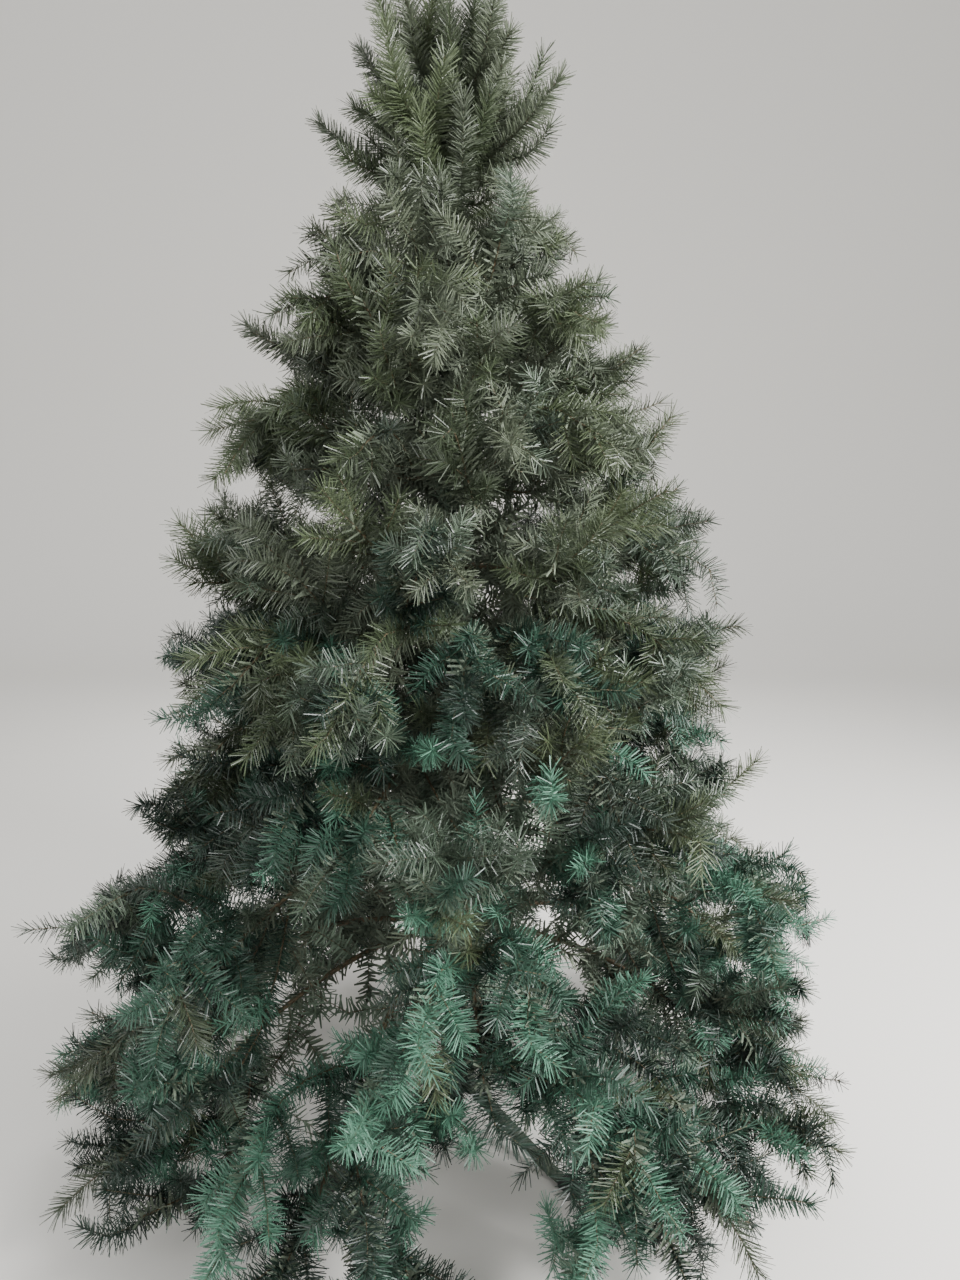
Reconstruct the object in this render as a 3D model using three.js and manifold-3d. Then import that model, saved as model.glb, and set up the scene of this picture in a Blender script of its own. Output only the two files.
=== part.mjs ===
// An artificial Christmas tree, undecorated: a steel pole in a four-legged stand, wire boughs hooked
// on collars round the pole, and masses of wired plastic needle sprays.
// Millimetres, +Z up. The origin is on the floor, in the middle of the underside of the stand.
import * as THREE from 'three';
import { mergeVertices } from 'three/addons/utils/BufferGeometryUtils.js';
import Module from 'manifold-3d';

const wasm = await Module();
wasm.setup();

// Whole tree
const TREE_HEIGHT = 2410;
const GAP = 0.3;
const SLIVER = 0.05;
const SPACE_MARGIN = 6;
const FLOOR_CLEARANCE = 14;
const LIMB_CLEARANCE = 12;

// Pole: three steel tubes, each a little thinner than the one below
const POLE_SIDES = 12;
const POLE_RADII = [16, 14.5, 12];
const POLE_JOINTS = [1000, 1740];
const POLE_TOP = 1965;
const SLEEVE_RADIUS = 18.5;
const SLEEVE_HEIGHT = 60;
const COLLAR_RADIUS = 27;
const COLLAR_HEIGHT = 20;

// Stand
const HUB_RADIUS = 24;
const HUB_BORE_SLACK = 0.4;
const HUB_HEIGHT = 170;
const HUB_FLOOR = 8;
const HUB_RIM_RADIUS = 28;
const HUB_RIM_HEIGHT = 12;
const LEG_COUNT = 4;
const LEG_TURN = 45;
const LEG_REACH = 370;
const LEG_WIDTH = 24;
const LEG_DEPTH = 14;
const LEG_TOP = 120;
const LEG_ROOT_DEPTH = 44;
const LEG_NECK = 26;
const LEG_NECK_SLOPE = { along: 10, down: 20 };
const LEG_TOE_SLOPE = { along: 6, up: 3 };
const FOOT_LENGTH = 46;
const FOOT_WIDTH = 34;
const FOOT_HEIGHT = 16;
const FOOT_OVERHANG = 8;
const SCREW_COUNT = 4;
const SCREW_HEIGHT = 146;
const SCREW_RADIUS = 4;
const SCREW_LENGTH = 26;
const SCREW_INSET = 1.8;
const KNOB_RADIUS = 11;
const KNOB_THICKNESS = 7;

// Boughs and twigs
const BOUGH_SIDES = 6;
const BOUGH_ROOT_RADIUS = 7.4;
const BOUGH_TIP_RADIUS = 6;
const STEM_SIDES = 3;
const STEM_ROOT_RADIUS = 7.5;
const STEM_TIP_RADIUS = 6;
const TWIG_ROOT_RADIUS = 2.1;
const TWIG_TIP_RADIUS = 2.8;
const SHORTEST_TWIG = 34;
const END_TWIG = 12;
const STEEP_TWIG = 90;
const FOOT_SHIFT = 0.4;

// Growth of a mass: ranges that the seeded rule draws from, angles in degrees
const STEM_REACH = [0.93, 1];
const END_LIFT = [0, 0.4];
const END_ROLL = [-60, 60];
const TWIG_STRETCH = [0.05, 0.92];
const TWIG_SHIFT = [-0.02, 0.02];
const TWIG_TURN = [20, 48];
const TWIG_REACH = [0.84, 0.99];
const TWIG_RISE = [0.8, 1];
const TWIG_SWING = [-14, 14];
const TWIG_ROLL = [0, 60];

// Sprays: a toothed blade, two pairs of teeth and a pointed end, thick at its middle, that its twig
// widens into. Outline corners are shares of its length and of half its width.
const SPRAY = { length: 262, halfWidth: 98 };
const SPRAY_THICKNESS = 10;
const SPRAY_MIDDLE = 0.42;
const SPRAY_SIDE = [[0, 0.05], [0.43, 1], [0.49, 0.28], [0.76, 0.8], [0.74, 0.2]];
const SPRAY_SIZES = [1, 0.84, 0.7, 0.58];
const SPRAY_ROLLS = [0, 35, -35, 70];
const SPRAY_PITCHES = [1, 0.8, 0.6, 0.4];

// Tiers from the floor up. hook is the height of the collar, tip the height of the furthest tips,
// reach their distance from the pole, arch how far the limb bows up over its chord, and limb the bare
// bough's end. headings are degrees from straight ahead of the tree, to its left when negative.
const TIERS = [
  { name: 'first', hook: 470, tip: 150, reach: 905, arch: 70, limb: 270, twigs: 8, pitch: 36,
    headings: [-20, -56, -98, -143, 170, 124, 78, 33] },
  { name: 'second', hook: 700, tip: 500, reach: 860, arch: 60, limb: 230, twigs: 8, pitch: 48,
    headings: [6, -50, -106, -166, 128, 70] },
  { name: 'third', hook: 900, tip: 820, reach: 700, arch: 34, limb: 0, twigs: 10, pitch: 48,
    headings: [-20, -92, -164, 124, 52] },
  { name: 'fourth', hook: 1090, tip: 1090, reach: 640, arch: 10, limb: 0, twigs: 9, pitch: 48,
    headings: [14, -58, -130, 158, 86] },
  { name: 'fifth', hook: 1280, tip: 1350, reach: 593, arch: -10, limb: 0, twigs: 9, pitch: 48,
    headings: [-22, -92, -176, 112, 48] },
  { name: 'sixth', hook: 1470, tip: 1550, reach: 501, arch: -24, limb: 0, twigs: 8, pitch: 52,
    headings: [28, -50, -144, 110] },
  { name: 'seventh', hook: 1650, tip: 1710, reach: 443, arch: -30, limb: 0, twigs: 9, pitch: 28,
    headings: [-32, -156, 68] },
  { name: 'eighth', hook: 1820, tip: 1995, reach: 345, arch: -34, limb: 0, twigs: 8, pitch: 44,
    headings: [-98, 156, 14] },
];
const LOWEST_SURFACE = { height: 330, slope: -0.36, waves: 0 };
const HIGHEST_SURFACE = { height: 1950, slope: 0.42, waves: 0 };
const WAVE_SHARE = 0.085;

// Leader: upright shoots that fan out round the top of the pole
const LEADER_STEM = 180;
const LEADER_SHOOTS = 10;
const LEADER_REACH = 315;
const LEADER_SPRAY = { length: 220, halfWidth: 60 };
const LEADER_SEED = 9001;
const LEADER_TILT = { x: -0.04, y: -0.03 };
const LEADER_TOP_ROLL = 20;
const SHOOT_STRETCH = [0.16, 0.92];
const SHOOT_STEP = 137.5;
const SHOOT_FIRST = -84;
const SHOOT_SHIFT = [-12, 12];
const SHOOT_LEAN = [66, 22];
const SHOOT_LEAN_SHIFT = [-4, 4];
const SHOOT_SIZE = [1, 0.86];
const SHOOT_BARE_SHARE = 0.5;
const SHOOT_ROLL = [-80, 80];

const UP = new THREE.Vector3(0, 0, 1);

const paint = (color, roughness, metalness) =>
  new THREE.MeshStandardMaterial({ color, roughness, metalness });
const materials = {
  pole: () => paint(0x2c3a2c, 0.55, 0.3),
  stand: () => paint(0x24302a, 0.5, 0.3),
  bough: () => paint(0x4a3c2c, 0.7, 0.1),
  needles: (shade) => paint(new THREE.Color().setHSL(0.42, 0.24, 0.2 + 0.08 * shade), 0.5, 0),
};

// Seeded rule: each number is the last one times a constant plus a constant, cut to 32 bits
function makeRandom(seed) {
  let state = seed >>> 0;
  return (low, high) => {
    state = (Math.imul(state, 1664525) + 1013904223) >>> 0;
    return low + (high - low) * (state / 4294967296);
  };
}

const radians = (degrees) => (degrees * Math.PI) / 180;
const mix = (a, b, t) => a + (b - a) * t;

// Heading 0 points to the front, which is -Y
function outward(heading) {
  const angle = radians(heading);
  return new THREE.Vector3(Math.sin(angle), -Math.cos(angle), 0);
}

function toSolid(geometry) {
  const plain = geometry.clone();
  plain.deleteAttribute('normal');
  plain.deleteAttribute('uv');
  const merged = mergeVertices(plain, 1e-4);
  const vertProperties = new Float32Array(merged.attributes.position.array);
  const triVerts = new Uint32Array(merged.index.array);
  return new wasm.Manifold(new wasm.Mesh({ numProp: 3, vertProperties, triVerts }));
}

function toGeometry(solid) {
  const mesh = solid.getMesh();
  const geometry = new THREE.BufferGeometry();
  geometry.setAttribute('position', new THREE.BufferAttribute(mesh.vertProperties, 3));
  geometry.setIndex(new THREE.BufferAttribute(mesh.triVerts, 1));
  geometry.computeVertexNormals();
  return geometry;
}

// The largest body of a union; a scrap that came loose is dropped
function wholeOf(geometries) {
  const joined = geometries.map(toSolid).reduce((sum, solid) => sum.add(solid));
  const bodies = joined.asOriginal().simplify(SLIVER).decompose();
  return toGeometry(bodies.sort((a, b) => b.volume() - a.volume())[0]);
}

// A tapering limb along a curve: a cylinder whose axis is bent onto it. Its root section can be
// set square to a given direction, so that it stands flat against what carries it.
function limbGeometry(curve, rootRadius, tipRadius, sides, steps, rootDirection) {
  const geometry = new THREE.CylinderGeometry(tipRadius, rootRadius, 1, sides, steps);
  const position = geometry.attributes.position;
  for (let i = 0; i < position.count; i += 1) {
    const along = position.getY(i) + 0.5;
    const isRoot = along < 1e-6 && rootDirection;
    const tangent = isRoot ? rootDirection.clone() : curve.getTangent(along);
    const aside = new THREE.Vector3(-tangent.y, tangent.x, 0).normalize();
    const above = new THREE.Vector3().crossVectors(tangent, aside);
    const point = curve.getPoint(along);
    point.addScaledVector(above, position.getX(i));
    point.addScaledVector(aside, position.getZ(i));
    position.setXYZ(i, point.x, point.y, point.z);
  }
  return geometry;
}

// The corners of a spray's outline on its own plane: its teeth lean forward along its twig
function sprayOutline(length, halfWidth) {
  const corner = (x, y) => new THREE.Vector3(x * length, y * halfWidth, 0);
  const near = SPRAY_SIDE.map(([x, y]) => corner(x, y)).reverse();
  const far = SPRAY_SIDE.map(([x, y]) => corner(x, -y));
  return [corner(1, 0), ...near, ...far];
}

// A spray is the twig from its root to its foot, and the direction, roll and size of its blade
function makeSpray(root, foot, direction, roll, size, shape) {
  const level = new THREE.Vector3().crossVectors(direction, UP).normalize();
  const across = level.applyAxisAngle(direction, radians(roll));
  const normal = new THREE.Vector3().crossVectors(direction, across);
  const matrix = new THREE.Matrix4().makeBasis(direction, across, normal).setPosition(foot);
  const length = size * shape.length;
  const outline = sprayOutline(length, size * shape.halfWidth);
  const corners = outline.map((corner) => corner.clone().applyMatrix4(matrix));
  return { root, foot, length, outline, matrix, inverse: matrix.clone().invert(), corners };
}

// A spray and its twig in one skin: the twig's three corners widen into the blade's foot, and the
// outline's edges meet at a middle point on each face
function sprayGeometry(spray) {
  const count = spray.outline.length;
  const near = SPRAY_SIDE.length;
  const middle = SPRAY_MIDDLE * spray.length;
  const start = spray.root.clone().applyMatrix4(spray.inverse);
  const points = [
    ...spray.outline,
    new THREE.Vector3(middle, 0, SPRAY_THICKNESS / 2),
    new THREE.Vector3(middle, 0, -SPRAY_THICKNESS / 2),
    new THREE.Vector3(0, 0, TWIG_TIP_RADIUS),
    ...[-120, 0, 120].map((degrees) => {
      const angle = radians(degrees);
      const y = start.y - TWIG_ROOT_RADIUS * Math.sin(angle);
      return new THREE.Vector3(start.x, y, start.z + TWIG_ROOT_RADIUS * Math.cos(angle));
    }),
  ];
  const [top, bottom, ridge] = [count, count + 1, count + 2];
  const foot = [near, ridge, near + 1];
  const root = [count + 3, count + 4, count + 5];
  const faces = [top, near, ridge, top, ridge, near + 1, root[0], root[2], root[1]];
  for (let i = 0; i < count; i += 1) {
    const next = (i + 1) % count;
    faces.push(bottom, next, i);
    if (i !== near) {
      faces.push(top, i, next);
    }
  }
  for (let i = 0; i < 3; i += 1) {
    const next = (i + 1) % 3;
    faces.push(foot[i], root[i], foot[next], foot[next], root[i], root[next]);
  }
  const geometry = new THREE.BufferGeometry().setFromPoints(points);
  geometry.setIndex(faces);
  return geometry.applyMatrix4(spray.matrix);
}

// True if a flat point lies in a closed outline
function isInOutline(outline, x, y) {
  let inside = false;
  outline.forEach((corner, i) => {
    const next = outline[(i + 1) % outline.length];
    if (corner.y > y !== next.y > y) {
      const edge = mix(corner.x, next.x, (y - corner.y) / (next.y - corner.y));
      inside = x < edge ? !inside : inside;
    }
  });
  return inside;
}

// True if a straight line between two points goes through a spray's blade
function lineMeetsSpray(from, to, spray) {
  const start = from.clone().applyMatrix4(spray.inverse);
  const end = to.clone().applyMatrix4(spray.inverse);
  if (start.z > 0 === end.z > 0) {
    return false;
  }
  const point = start.clone().lerp(end, start.z / (start.z - end.z));
  return isInOutline(spray.outline, point.x, point.y);
}

const edgesMeet = (edged, spray) => edged.corners.some((corner, i) =>
  lineMeetsSpray(corner, edged.corners[(i + 1) % edged.corners.length], spray));

// True if a new spray or its twig cuts through a spray or a twig that is already there
function isCrossed(spray, sprays, lines) {
  return (
    sprays.some((other) => edgesMeet(spray, other) || edgesMeet(other, spray) ||
      lineMeetsSpray(spray.root, spray.foot, other)) ||
    lines.some((line) => lineMeetsSpray(line.from, line.to, spray))
  );
}

const slopeOf = (tier) => (tier.tip - tier.hook) / tier.reach;

// A surface of revolution whose slope, on some, swells over the masses below it and sinks between them
function surfaceHeight(surface, point) {
  const radius = Math.hypot(point.x, point.y);
  const turn = Math.atan2(point.x, -point.y) - radians(surface.waves > 0 ? surface.turn : 0);
  const swell = surface.waves > 0 ? WAVE_SHARE * Math.cos(surface.waves * turn) : 0;
  return surface.height + (surface.slope + swell) * radius;
}

// The surface halfway between two tiers, each taken as a straight line from its hook to its tips
function surfaceBetween(lower, upper) {
  const radius = (lower.reach + upper.reach) / 2;
  const heightAt = (tier) => tier.hook + slopeOf(tier) * radius;
  const height = (lower.hook + upper.hook) / 2;
  const outer = (heightAt(lower) + heightAt(upper)) / 2;
  const { headings } = lower;
  return { height, slope: (outer - height) / radius, waves: headings.length, turn: headings[0] };
}

// A mass keeps to its own space: between the surfaces under and over its tier, between the upright
// planes halfway to its neighbours, and beyond the limb that carries it
function spaceOf(tierIndex, massIndex) {
  const tier = TIERS[tierIndex];
  const heading = tier.headings[massIndex];
  const turnsTo = (sign) => tier.headings
    .map((other) => (((sign * (other - heading)) % 360) + 360) % 360)
    .filter((turn) => turn > 0);
  const floor = tierIndex === 0 ? LOWEST_SURFACE : surfaceBetween(TIERS[tierIndex - 1], tier);
  const isLast = tierIndex === TIERS.length - 1;
  const ceiling = isLast ? HIGHEST_SURFACE : surfaceBetween(tier, TIERS[tierIndex + 1]);
  const near = (tier.limb > 0 ? tier.limb : COLLAR_RADIUS) + LIMB_CLEARANCE;
  const planes = [
    outward(heading + Math.min(...turnsTo(1)) / 2 - 90),
    outward(heading - Math.min(...turnsTo(-1)) / 2 + 90),
  ];
  return { floor, ceiling, near, reach: tier.reach, planes };
}

function isInside(space, point) {
  const radius = Math.hypot(point.x, point.y);
  return (
    radius > space.near &&
    radius < space.reach &&
    point.z > FLOOR_CLEARANCE &&
    point.z > surfaceHeight(space.floor, point) + SPACE_MARGIN &&
    point.z < surfaceHeight(space.ceiling, point) - SPACE_MARGIN &&
    space.planes.every((plane) => plane.dot(point) > SPACE_MARGIN)
  );
}

// True if the corners of a spray, the middles of its edges and points along its rib are in the space
function sprayFits(space, spray) {
  const rib = [0.25, 0.5, 0.75].map((share) => spray.foot.clone().lerp(spray.corners[0], share));
  const middles = spray.corners.map((corner, i) =>
    corner.clone().lerp(spray.corners[(i + 1) % spray.corners.length], 0.5));
  return [...spray.corners, ...middles, ...rib].every((point) => isInside(space, point));
}

// How far a flat-sided turned piece of the pole or the stand reaches in a direction
function sidedReach(radius, heading) {
  const side = 360 / POLE_SIDES;
  const turn = (((heading + side / 2) % side) + side) % side;
  return radius * Math.cos(radians(turn - side / 2));
}

// The whole limb of a mass, from its collar to the end of its stem
function limbCurve(tier, heading, reachShare) {
  const away = outward(heading);
  const end = tier.reach * reachShare - SPRAY.length;
  const at = (radius, height) => away.clone().multiplyScalar(radius).setZ(height);
  const root = at(sidedReach(COLLAR_RADIUS, heading) + GAP, tier.hook);
  const tip = at(end, mix(tier.hook, tier.tip, end / tier.reach));
  const middle = root.clone().lerp(tip, 0.5);
  middle.z += 2 * tier.arch;
  return new THREE.QuadraticBezierCurve3(root, middle, tip);
}

// The stretch of a quadratic curve between two of its parameters
function stretchOf(curve, from, to) {
  const start = curve.getPoint(from);
  const end = curve.getPoint(to);
  const slope = curve.v1.clone().sub(curve.v0).lerp(curve.v2.clone().sub(curve.v1), from);
  const middle = start.clone().addScaledVector(slope, to - from);
  return new THREE.QuadraticBezierCurve3(start, middle, end);
}

// How far a level line from a point at some radius, leaning off the outward way, runs to a circle
function distanceToCircle(radius, circle, lean) {
  const across = radius * Math.sin(lean);
  return Math.sqrt(Math.max(circle * circle - across * across, 0)) - radius * Math.cos(lean);
}

// Grows the twigs and sprays of one mass from its stem. A spray that would leave the mass's space, or
// cut through what is there, is tried at other rolls and smaller sizes, and is then skipped.
function growMass(tierIndex, massIndex) {
  const tier = TIERS[tierIndex];
  const heading = tier.headings[massIndex];
  const random = makeRandom(1000 * (tierIndex + 1) + 41 * massIndex + 11);
  const space = spaceOf(tierIndex, massIndex);
  const limb = limbCurve(tier, heading, random(...STEM_REACH));
  const limbLength = tier.reach - SPRAY.length;
  const limbShare = tier.limb / limbLength;
  const stem = stretchOf(limb, limbShare > 0 ? limbShare + GAP / limbLength : 0, 1);
  const endRoot = 1 - END_TWIG / limbLength;
  const steps = [0, 1, 2, 3].map((step) => stem.getPoint((endRoot * step) / 3));
  const lines = [0, 1, 2].map((step) => ({ from: steps[step], to: steps[step + 1] }));
  const mass = { limb, limbShare, stem, heading, sprays: [] };

  const grow = (root, aim, roll) => {
    for (const size of SPRAY_SIZES) {
      for (const share of SPRAY_PITCHES) {
        const { foot, direction } = aim(size, share);
        for (const turn of SPRAY_ROLLS) {
          const spray = makeSpray(root, foot, direction, roll + turn, size, SPRAY);
          if (sprayFits(space, spray) && !isCrossed(spray, mass.sprays, lines)) {
            mass.sprays.push(spray);
            lines.push({ from: root, to: spray.foot });
            return;
          }
        }
      }
    }
  };

  const end = stem.getPoint(1);
  const lift = random(...END_LIFT);
  const endAim = (size, share) => {
    const direction = stem.getTangent(1);
    direction.z += lift * share;
    return { foot: end, direction: direction.normalize() };
  };
  grow(stem.getPoint(endRoot), endAim, random(...END_ROLL));
  for (let i = 0; i < tier.twigs; i += 1) {
    const along = mix(...TWIG_STRETCH, i / (tier.twigs - 1));
    const root = stem.getPoint(along + random(...TWIG_SHIFT));
    const turn = (i % 2 === 0 ? 1 : -1) * random(...TWIG_TURN);
    const circle = tier.reach * random(...TWIG_REACH);
    const level = distanceToCircle(Math.hypot(root.x, root.y), circle, radians(turn));
    const rise = (i % 4 < 2 ? 1 : -1) * random(...TWIG_RISE);
    const swing = random(...TWIG_SWING);
    const aim = (size, share) => {
      const pitch = radians(tier.pitch * rise * share);
      const bare = Math.max(SHORTEST_TWIG, level - size * SPRAY.length * Math.cos(pitch));
      const foot = root.clone().addScaledVector(outward(heading + turn), bare);
      const [floor, ceiling] = [space.floor, space.ceiling].map((s) => surfaceHeight(s, foot));
      const height = mix(floor, ceiling, 0.5 - FOOT_SHIFT * rise * share);
      foot.setZ(mix(root.z, height, Math.min(1, bare / STEEP_TWIG)));
      const away = outward(heading + turn + swing);
      return { foot, direction: away.setZ(slopeOf(tier) + Math.tan(pitch)).normalize() };
    };
    grow(root, aim, (i % 3 === 0 ? -1 : 1) * random(...TWIG_ROLL));
  }
  return mass;
}

function massGeometry(mass) {
  const rootDirection = mass.limbShare > 0 ? mass.stem.getTangent(0) : outward(mass.heading);
  return wholeOf([
    limbGeometry(mass.stem, STEM_ROOT_RADIUS, STEM_TIP_RADIUS, STEM_SIDES, 3, rootDirection),
    ...mass.sprays.map(sprayGeometry),
  ]);
}

// The leader's shoots fan out from a short stem that stands on the pole's top
function growLeader() {
  const random = makeRandom(LEADER_SEED);
  const foot = new THREE.Vector3(0, 0, POLE_TOP + GAP);
  const stem = new THREE.LineCurve3(foot, foot.clone().setZ(POLE_TOP + LEADER_STEM));
  const leader = { stem, sprays: [] };
  const upright = new THREE.Vector3(LEADER_TILT.x, LEADER_TILT.y, 1).normalize();
  const top = stem.getPoint(1);
  const topRoot = top.clone().addScaledVector(upright, -END_TWIG);
  const topSize = (TREE_HEIGHT - top.z) / LEADER_SPRAY.length;
  leader.sprays.push(makeSpray(topRoot, top, upright, LEADER_TOP_ROLL, topSize, LEADER_SPRAY));
  for (let i = 0; i < LEADER_SHOOTS; i += 1) {
    const share = i / (LEADER_SHOOTS - 1);
    const root = stem.getPoint(mix(...SHOOT_STRETCH, share));
    const heading = SHOOT_FIRST + SHOOT_STEP * i + random(...SHOOT_SHIFT);
    const lean = radians(mix(...SHOOT_LEAN, share) + random(...SHOOT_LEAN_SHIFT));
    const direction = outward(heading).multiplyScalar(Math.sin(lean)).setZ(Math.cos(lean));
    const size = mix(...SHOOT_SIZE, share);
    const spare = LEADER_REACH - size * LEADER_SPRAY.length * Math.sin(lean);
    const bare = Math.max(SHORTEST_TWIG, SHOOT_BARE_SHARE * spare);
    const foot = root.clone().addScaledVector(direction, bare);
    const roll = random(...SHOOT_ROLL);
    leader.sprays.push(makeSpray(root, foot, direction, roll, size, LEADER_SPRAY));
  }
  return leader;
}

function leaderGeometry(leader) {
  const height = LEADER_STEM - GAP;
  const stem = new THREE.CylinderGeometry(STEM_TIP_RADIUS, STEM_ROOT_RADIUS, height, STEM_SIDES);
  stem.rotateX(Math.PI / 2).translate(0, 0, POLE_TOP + GAP + height / 2);
  return wholeOf([stem, ...leader.sprays.map(sprayGeometry)]);
}

// The pole is turned from one profile: three tubes, a sleeve over each joint, a collar at each tier
function poleGeometry() {
  const radiusAt = (z) => POLE_RADII[POLE_JOINTS.filter((joint) => z > joint).length];
  const rings = [
    ...TIERS.map((tier) => ({ z: tier.hook, radius: COLLAR_RADIUS, height: COLLAR_HEIGHT })),
    ...POLE_JOINTS.map((z) => ({ z, radius: SLEEVE_RADIUS, height: SLEEVE_HEIGHT })),
  ].sort((a, b) => a.z - b.z);
  const foot = HUB_FLOOR + GAP;
  const profile = [new THREE.Vector2(0, foot), new THREE.Vector2(POLE_RADII[0], foot)];
  for (const ring of rings) {
    const low = ring.z - ring.height / 2;
    const high = ring.z + ring.height / 2;
    profile.push(
      new THREE.Vector2(radiusAt(low), low),
      new THREE.Vector2(ring.radius, low),
      new THREE.Vector2(ring.radius, high),
      new THREE.Vector2(radiusAt(high), high),
    );
  }
  profile.push(new THREE.Vector2(POLE_RADII.at(-1), POLE_TOP), new THREE.Vector2(0, POLE_TOP));
  return new THREE.LatheGeometry(profile, POLE_SIDES).rotateX(Math.PI / 2);
}

// The hub is a cup on the floor that the pole drops into, with a rim and four clamping screws
function hubGeometry() {
  const bore = POLE_RADII[0] + HUB_BORE_SLACK;
  const profile = [
    [0, 0],
    [HUB_RIM_RADIUS, 0],
    [HUB_RIM_RADIUS, HUB_RIM_HEIGHT],
    [HUB_RADIUS, HUB_RIM_HEIGHT],
    [HUB_RADIUS, HUB_HEIGHT],
    [bore, HUB_HEIGHT],
    [bore, HUB_FLOOR],
    [0, HUB_FLOOR],
  ].map(([radius, z]) => new THREE.Vector2(radius, z));
  const pieces = [new THREE.LatheGeometry(profile, POLE_SIDES).rotateX(Math.PI / 2)];
  for (let i = 0; i < SCREW_COUNT; i += 1) {
    const inner = bore + SCREW_INSET;
    const shank = new THREE.CylinderGeometry(SCREW_RADIUS, SCREW_RADIUS, SCREW_LENGTH, 6);
    shank.rotateZ(Math.PI / 2).translate(inner + SCREW_LENGTH / 2, 0, SCREW_HEIGHT);
    const knob = new THREE.CylinderGeometry(KNOB_RADIUS, KNOB_RADIUS, KNOB_THICKNESS, 8);
    knob.rotateZ(Math.PI / 2).translate(inner + SCREW_LENGTH, 0, SCREW_HEIGHT);
    const turn = (2 * Math.PI * i) / SCREW_COUNT;
    pieces.push(shank.rotateZ(turn), knob.rotateZ(turn));
  }
  return wholeOf(pieces);
}

// A leg lies along +X before it is turned: a bar that slopes from the hub down to a flat foot
function legGeometry() {
  const start = sidedReach(HUB_RADIUS, LEG_TURN) + GAP;
  const neck = start + LEG_NECK;
  const bend = LEG_REACH - FOOT_LENGTH;
  const outline = new THREE.Shape([
    new THREE.Vector2(start, LEG_TOP - LEG_ROOT_DEPTH),
    new THREE.Vector2(neck, LEG_TOP - LEG_ROOT_DEPTH),
    new THREE.Vector2(bend, 0),
    new THREE.Vector2(LEG_REACH, 0),
    new THREE.Vector2(LEG_REACH, LEG_DEPTH),
    new THREE.Vector2(bend + LEG_TOE_SLOPE.along, LEG_DEPTH + LEG_TOE_SLOPE.up),
    new THREE.Vector2(neck + LEG_NECK_SLOPE.along, LEG_TOP - LEG_NECK_SLOPE.down),
    new THREE.Vector2(neck, LEG_TOP),
    new THREE.Vector2(start, LEG_TOP),
  ]);
  const bar = new THREE.ExtrudeGeometry(outline, { depth: LEG_WIDTH, bevelEnabled: false });
  bar.translate(0, 0, -LEG_WIDTH / 2).rotateX(Math.PI / 2);
  const foot = new THREE.BoxGeometry(FOOT_LENGTH, FOOT_WIDTH, FOOT_HEIGHT);
  foot.translate(LEG_REACH - FOOT_LENGTH / 2 + FOOT_OVERHANG, 0, FOOT_HEIGHT / 2);
  return wholeOf([bar, foot]);
}

function boughGeometry(mass) {
  const curve = stretchOf(mass.limb, 0, mass.limbShare);
  const away = outward(mass.heading);
  return limbGeometry(curve, BOUGH_ROOT_RADIUS, BOUGH_TIP_RADIUS, BOUGH_SIDES, 3, away);
}

const group = new THREE.Group();

function addPiece(parent, name, geometry, material) {
  const mesh = new THREE.Mesh(geometry, material);
  mesh.name = name;
  parent.add(mesh);
  return mesh;
}

const stand = new THREE.Group();
addPiece(stand, 'stand_hub', hubGeometry(), materials.stand());
for (let i = 0; i < LEG_COUNT; i += 1) {
  const leg = addPiece(stand, `stand_leg_${i + 1}`, legGeometry(), materials.stand());
  leg.rotation.z = radians(LEG_TURN + (360 / LEG_COUNT) * i);
}
group.add(stand);

addPiece(group, 'pole', poleGeometry(), materials.pole());

TIERS.forEach((tier, tierIndex) => {
  const tierGroup = new THREE.Group();
  tier.headings.forEach((_, massIndex) => {
    const mass = growMass(tierIndex, massIndex);
    const place = `${tier.name}_${massIndex + 1}`;
    if (tier.limb > 0) {
      addPiece(tierGroup, `bough_${place}`, boughGeometry(mass), materials.bough());
    }
    const shade = (tierIndex + massIndex) % 3;
    addPiece(tierGroup, `mass_${place}`, massGeometry(mass), materials.needles(shade));
  });
  group.add(tierGroup);
});

addPiece(group, 'mass_leader', leaderGeometry(growLeader()), materials.needles(1));

export default group;
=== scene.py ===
"""Looks of an artificial Christmas tree: needled tips on wired boughs, a steel pole and its stand."""

import math
from collections import namedtuple
from functools import lru_cache

import bpy
import numpy as np
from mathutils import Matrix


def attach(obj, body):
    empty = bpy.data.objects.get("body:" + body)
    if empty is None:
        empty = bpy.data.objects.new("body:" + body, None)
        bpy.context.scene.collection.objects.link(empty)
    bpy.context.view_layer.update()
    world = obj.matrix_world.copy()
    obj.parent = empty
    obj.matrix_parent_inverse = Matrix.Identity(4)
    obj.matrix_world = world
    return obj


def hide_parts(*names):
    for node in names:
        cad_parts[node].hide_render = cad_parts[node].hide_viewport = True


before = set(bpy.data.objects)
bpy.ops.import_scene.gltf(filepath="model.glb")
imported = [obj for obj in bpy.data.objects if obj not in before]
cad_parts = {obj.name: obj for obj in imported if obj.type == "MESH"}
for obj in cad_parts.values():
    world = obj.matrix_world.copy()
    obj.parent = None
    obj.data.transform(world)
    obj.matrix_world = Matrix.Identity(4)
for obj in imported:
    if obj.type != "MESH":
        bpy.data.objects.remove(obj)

bl_info = {
    "name": "Artificial Christmas tree",
    "version": (1, 0, 0),
    "blender": (4, 5, 0),
    "location": "3D View > Sidebar > Christmas tree",
    "description": "Makes the boughs, twigs, needles, pole and stand of an undecorated artificial tree",
    "category": "Add Mesh",
}

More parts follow.
